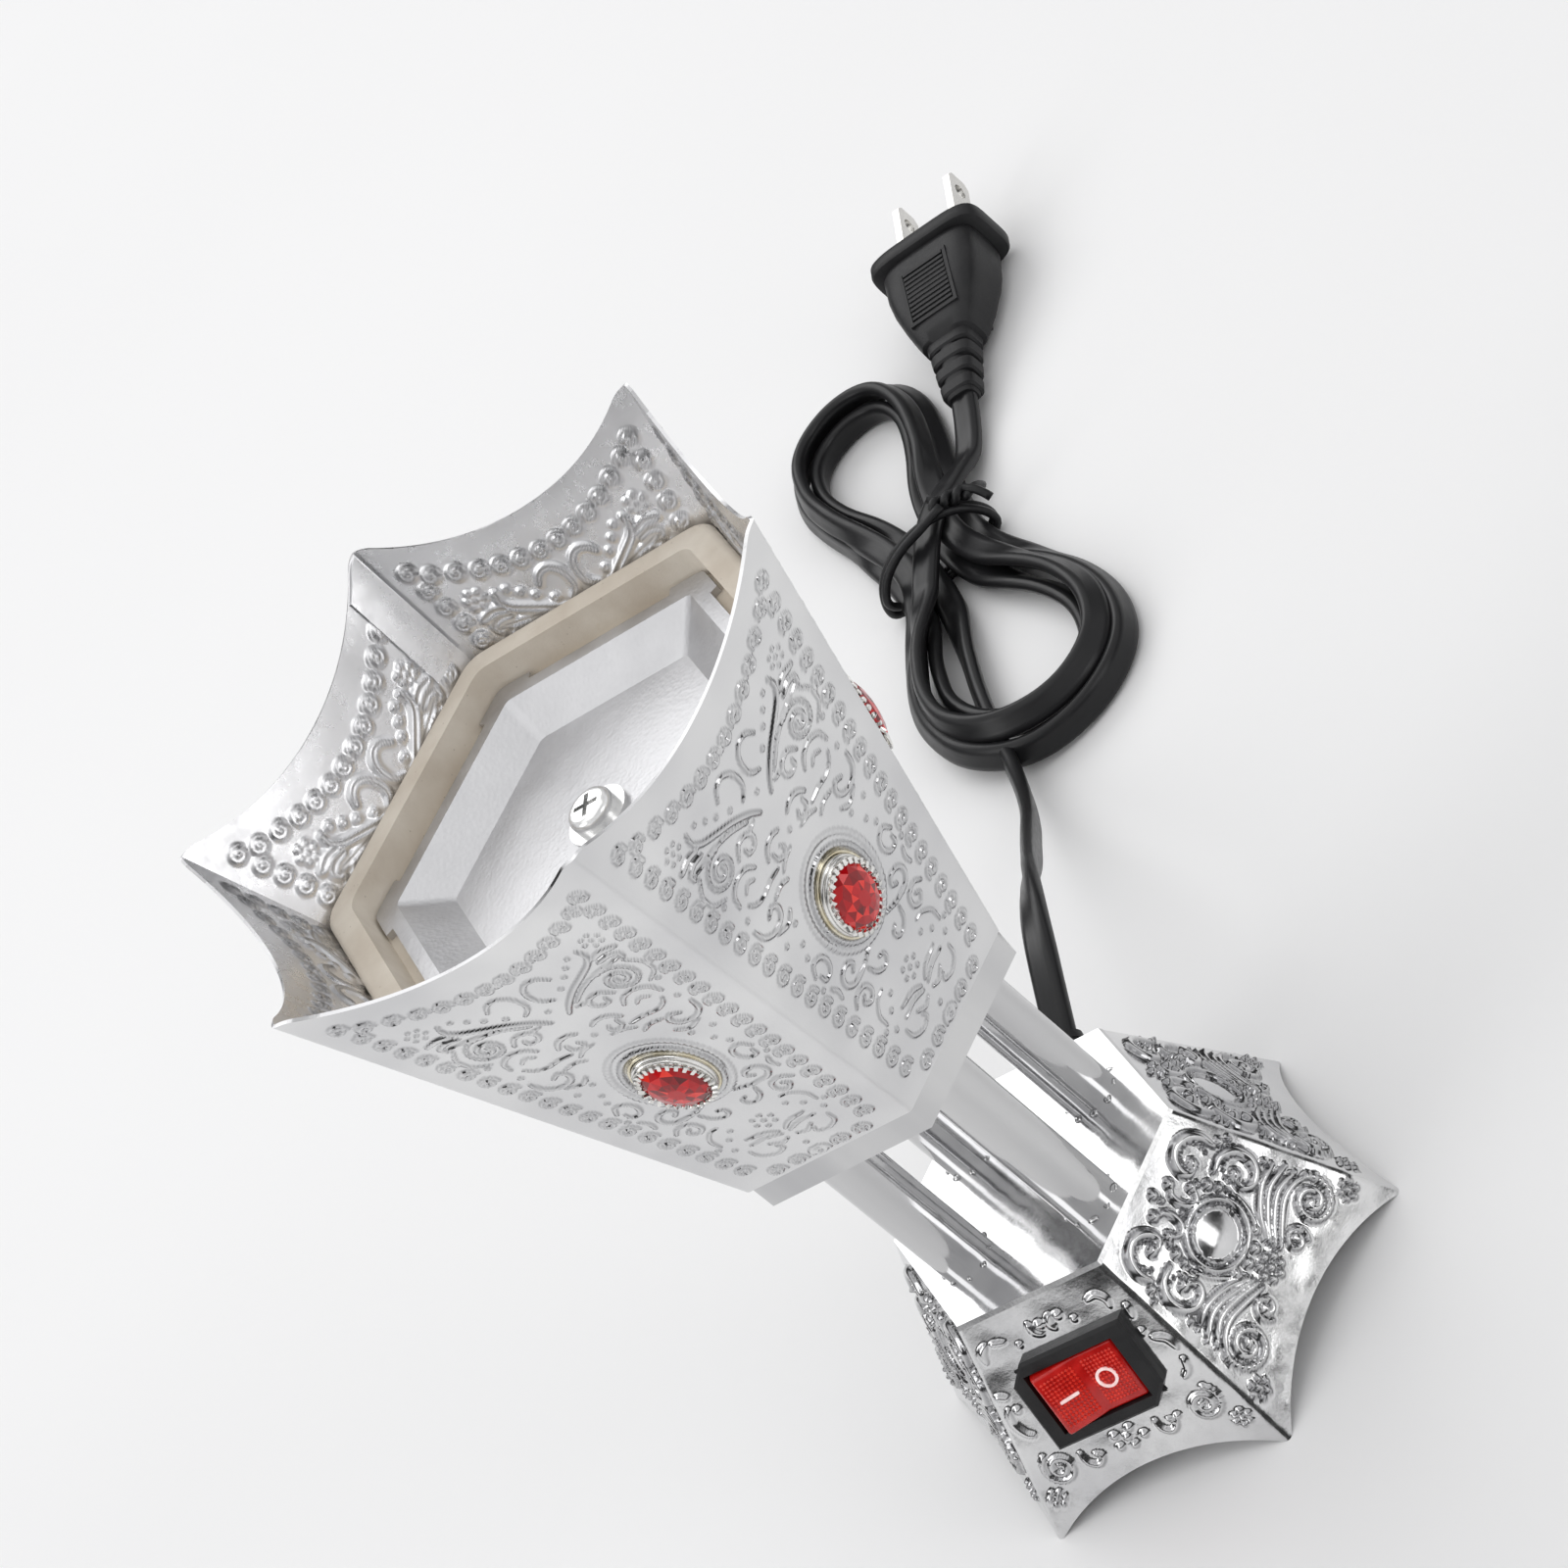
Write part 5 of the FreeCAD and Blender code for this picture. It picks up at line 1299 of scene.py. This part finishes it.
def make_stones():
    vertices, faces = cut_stone()
    # Painted light and shade: a random brightness for each facet of each stone.
    tones = np.random.default_rng(7).random((len(SIDE_ANGLES), len(faces)))
    for k, angle in enumerate(SIDE_ANGLES):
        name = "gem_stone_%d" % (k + 1)
        mesh = mesh_from(name, vertices, faces)
        facet_light = mesh.attributes.new("painted_facet_light", "FLOAT", "FACE")
        facet_light.data.foreach_set("value", tones[k].astype(np.float32))
        mesh.transform(BOWL.frame(angle))
        fit(name, mesh, "red_stone", ("gem_%d" % (k + 1),))


make_settings()
make_stones()


# ---- rocker -------------------------------------------------------------------------------
# The rocker's outline is an arc about its pivot, with a valley in the middle of its top.
PIVOT_Z, REST_TILT = -1.0, 10
ROCKER_R, ROCKER_HALF_LENGTH = 7.6, 5.1
VALLEY_Z, TIP_X, TIP_Z = 1.45, 6.71, 2.57
HEEL, SOFT_EDGE, SOFT_ANGLE = (2.6, -3.2), 0.4, 22
PIP_FIELD = {"Width": 5.0, "Height": 7.6, "Columns": 9, "Rows": 13, "Pip": 0.30}
PIP_X, PIP_RISE, MARK_ON_X, MARK_OFF_X = 3.5, 0.06, 3.6, 3.0
# The bar's sections, as for loft, and the ring's as (radius, rise).
ROCKER_LEAN = math.degrees(math.atan2(TIP_Z - VALLEY_Z, TIP_X))
MARK_ON = [(0.0, 3.2, 0.50, 6.0), (0.26, 3.2, 0.50, 6.0), (0.32, 3.0, 0.36, 6.0)]
MARK_OFF = [(1.25, 0.0), (1.25, 0.28), (1.33, 0.33), (1.62, 0.33), (1.70, 0.28), (1.70, 0.0)]


def rocker_frame():
    """The switch's own millimetres, with the rocker's rest tilt about its pivot."""
    return (FOOT.frame(SWITCH_ANGLE) @ moved(0, SWITCH_S, PIVOT_Z) @ turned(REST_TILT, "Y")
            @ moved(0, 0, -PIVOT_Z))


def on_rocker(side, x, rise=0.0):
    """From a flat patch to the left (-1) or right (1) face of the rocker, x from the valley."""
    return (rocker_frame() @ moved(0, 0, VALLEY_Z) @ turned(-side * ROCKER_LEAN, "Y")
            @ moved(side * x, 0, rise))


def make_rocker_body():
    outline = [(0, VALLEY_Z)]
    for degrees in (28, 17, 6, -4, -15):
        t = math.radians(degrees)
        outline.append((ROCKER_R * math.cos(t), PIVOT_Z + ROCKER_R * math.sin(t)))
    outline.append(HEEL)
    outline += [(-x, z) for x, z in reversed(outline[1:])]
    ends = (-ROCKER_HALF_LENGTH, ROCKER_HALF_LENGTH)
    vertices = [(x, y, z) for y in ends for x, z in outline]
    mesh = mesh_from("rocker_block", vertices, round_faces(2, len(outline)))
    face_outwards(mesh)
    block = show("rocker_block", mesh)
    bevel = block.modifiers.new("soft_edges", "BEVEL")
    bevel.width = SOFT_EDGE
    bevel.segments = 3
    bevel.limit_method = "ANGLE"
    bevel.angle_limit = math.radians(SOFT_ANGLE)
    mesh = plain_mesh(block)
    mesh.name = "rocker_body"
    smooth(mesh, 30)
    mesh.transform(rocker_frame())
    fit("rocker_body", mesh, "rocker_red", ("switch_rocker",), body="rocker")


def make_rocker_marks():
    """Raised pips over both faces, a bar on the left one and a ring on the right one."""
    pips = FINISHES["rocker_pip"]
    field = grown("rocker_pips", pip_tree(pips), PIP_FIELD, pips)
    fields = [field.copy() for side in (-1, 1)]
    for side, one in zip((-1, 1), fields):
        one.transform(to_millimetres(on_rocker(side, PIP_X, PIP_RISE)))
    fit("rocker_pips", merged("rocker_pips", fields, 20), "rocker_red", body="rocker")
    bar = mesh_from("rocker_mark_on", *loft(MARK_ON, 24), 40)
    bar.transform(on_rocker(-1, MARK_ON_X))
    fit("rocker_mark_on", bar, "rocker_red", (), "rocker_mark", "rocker")
    steps, section = 40, len(MARK_OFF)
    vertices, faces = [], []
    for i in range(steps):
        t = 2 * math.pi * i / steps
        vertices += [(r * math.cos(t), r * math.sin(t), rise) for r, rise in MARK_OFF]
        for k in range(section):
            a, b = i * section + k, i * section + (k + 1) % section
            beyond = (i + 1) % steps * section - i * section
            faces.append((a, b, b + beyond, a + beyond))
    ring = mesh_from("rocker_mark_off", vertices, faces, 40)
    ring.transform(on_rocker(1, MARK_OFF_X))
    fit("rocker_mark_off", ring, "rocker_red", (), "rocker_mark", "rocker")


make_rocker_body()
make_rocker_marks()


# ---- solder at the feet of the tubes ------------------------------------------------------
def make_solder():
    metal = FINISHES["polished_metal"]
    beads = bead_tree(metal)
    for k, corner in enumerate(("front_left", "front_right", "rear_right", "rear_left")):
        low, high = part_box("column_" + corner)
        centre, radius = (low + high) / 2, (high.x - low.x) / 2
        name = "solder_" + corner
        sizes = {"Beads": 9, "Ring Radius": radius / MM, "Bead": 0.75, "Seed": 3 + k}
        mesh = grown(name, beads, sizes, metal)
        mesh.transform(moved(centre.x, centre.y, plate_high.z))
        smooth(mesh, 60)
        fit(name, mesh, "polished_metal")


make_solder()


# ---- light and floor ----------------------------------------------------------------------
SKY_STEPS = [(0.0, 0.95), (0.47, 0.60), (0.51, 0.03), (0.63, 0.08), (0.74, 1.10), (0.84, 0.95),
             (1.0, 0.70)]
SKY_STRENGTH = 0.80


def make_floor():
    corners = [(-4, -4, 0), (4, -4, 0), (4, 4, 0), (-4, 4, 0)]
    floor = show("floor", mesh_from("floor", corners, [(0, 1, 2, 3)]))
    plain("floor", (0.86, 0.86, 0.86), (0.88, 0.88, 0.88), (0.6, 0.7), 0.0, 3, 400, 0.00002)
    floor.data.materials.append(FINISHES["floor"])


def soft_box(name, at, aim, width, height, power):
    data = bpy.data.lights.new(name, "AREA")
    data.shape = "RECTANGLE"
    data.size = width
    data.size_y = height
    data.energy = power
    lamp = show(name, data)
    lamp.location = at
    lamp.rotation_mode = "QUATERNION"
    lamp.rotation_quaternion = (Vector(aim) - Vector(at)).to_track_quat("-Z", "Y")


def make_sky():
    """Studio surround: bright overhead, with a dark band above the horizon."""
    world = bpy.data.worlds.new("surround")
    bpy.context.scene.world = world
    world.use_nodes = True
    tree = world.node_tree
    source = put(tree, "ShaderNodeTexCoord").outputs["Generated"]
    upward = put(tree, "ShaderNodeSeparateXYZ", {0: source}).outputs["Z"]
    height = put(tree, "ShaderNodeMapRange", {"Value": upward, "From Min": -1})
    ramp = put(tree, "ShaderNodeValToRGB", {0: height.outputs["Result"]})
    while len(ramp.color_ramp.elements) < len(SKY_STEPS):
        ramp.color_ramp.elements.new(0.5)
    for element, (position, level) in zip(ramp.color_ramp.elements, SKY_STEPS):
        element.position = position
        element.color = (level, level, level * 1.01, 1)
    background = tree.nodes["Background"].inputs
    feed(tree, background["Color"], ramp.outputs[0])
    feed(tree, background["Strength"], SKY_STRENGTH)


make_floor()
make_sky()
soft_box("overhead", (-0.1, 0.1, 1.1), (0, 0.05, 0), 1.2, 1.0, 2.6)
soft_box("back_left", (-0.62, 0.90, 0.80), (0, 0.02, 0.1), 0.9, 0.6, 3.2)
soft_box("left_key", (-0.9, -0.7, 0.7), (0, 0, 0.1), 0.5, 1.0, 3.0)
soft_box("right_fill", (1.1, -0.3, 0.5), (0, 0, 0.1), 0.35, 0.9, 2.2)
bpy.context.scene.view_settings.view_transform = "Standard"
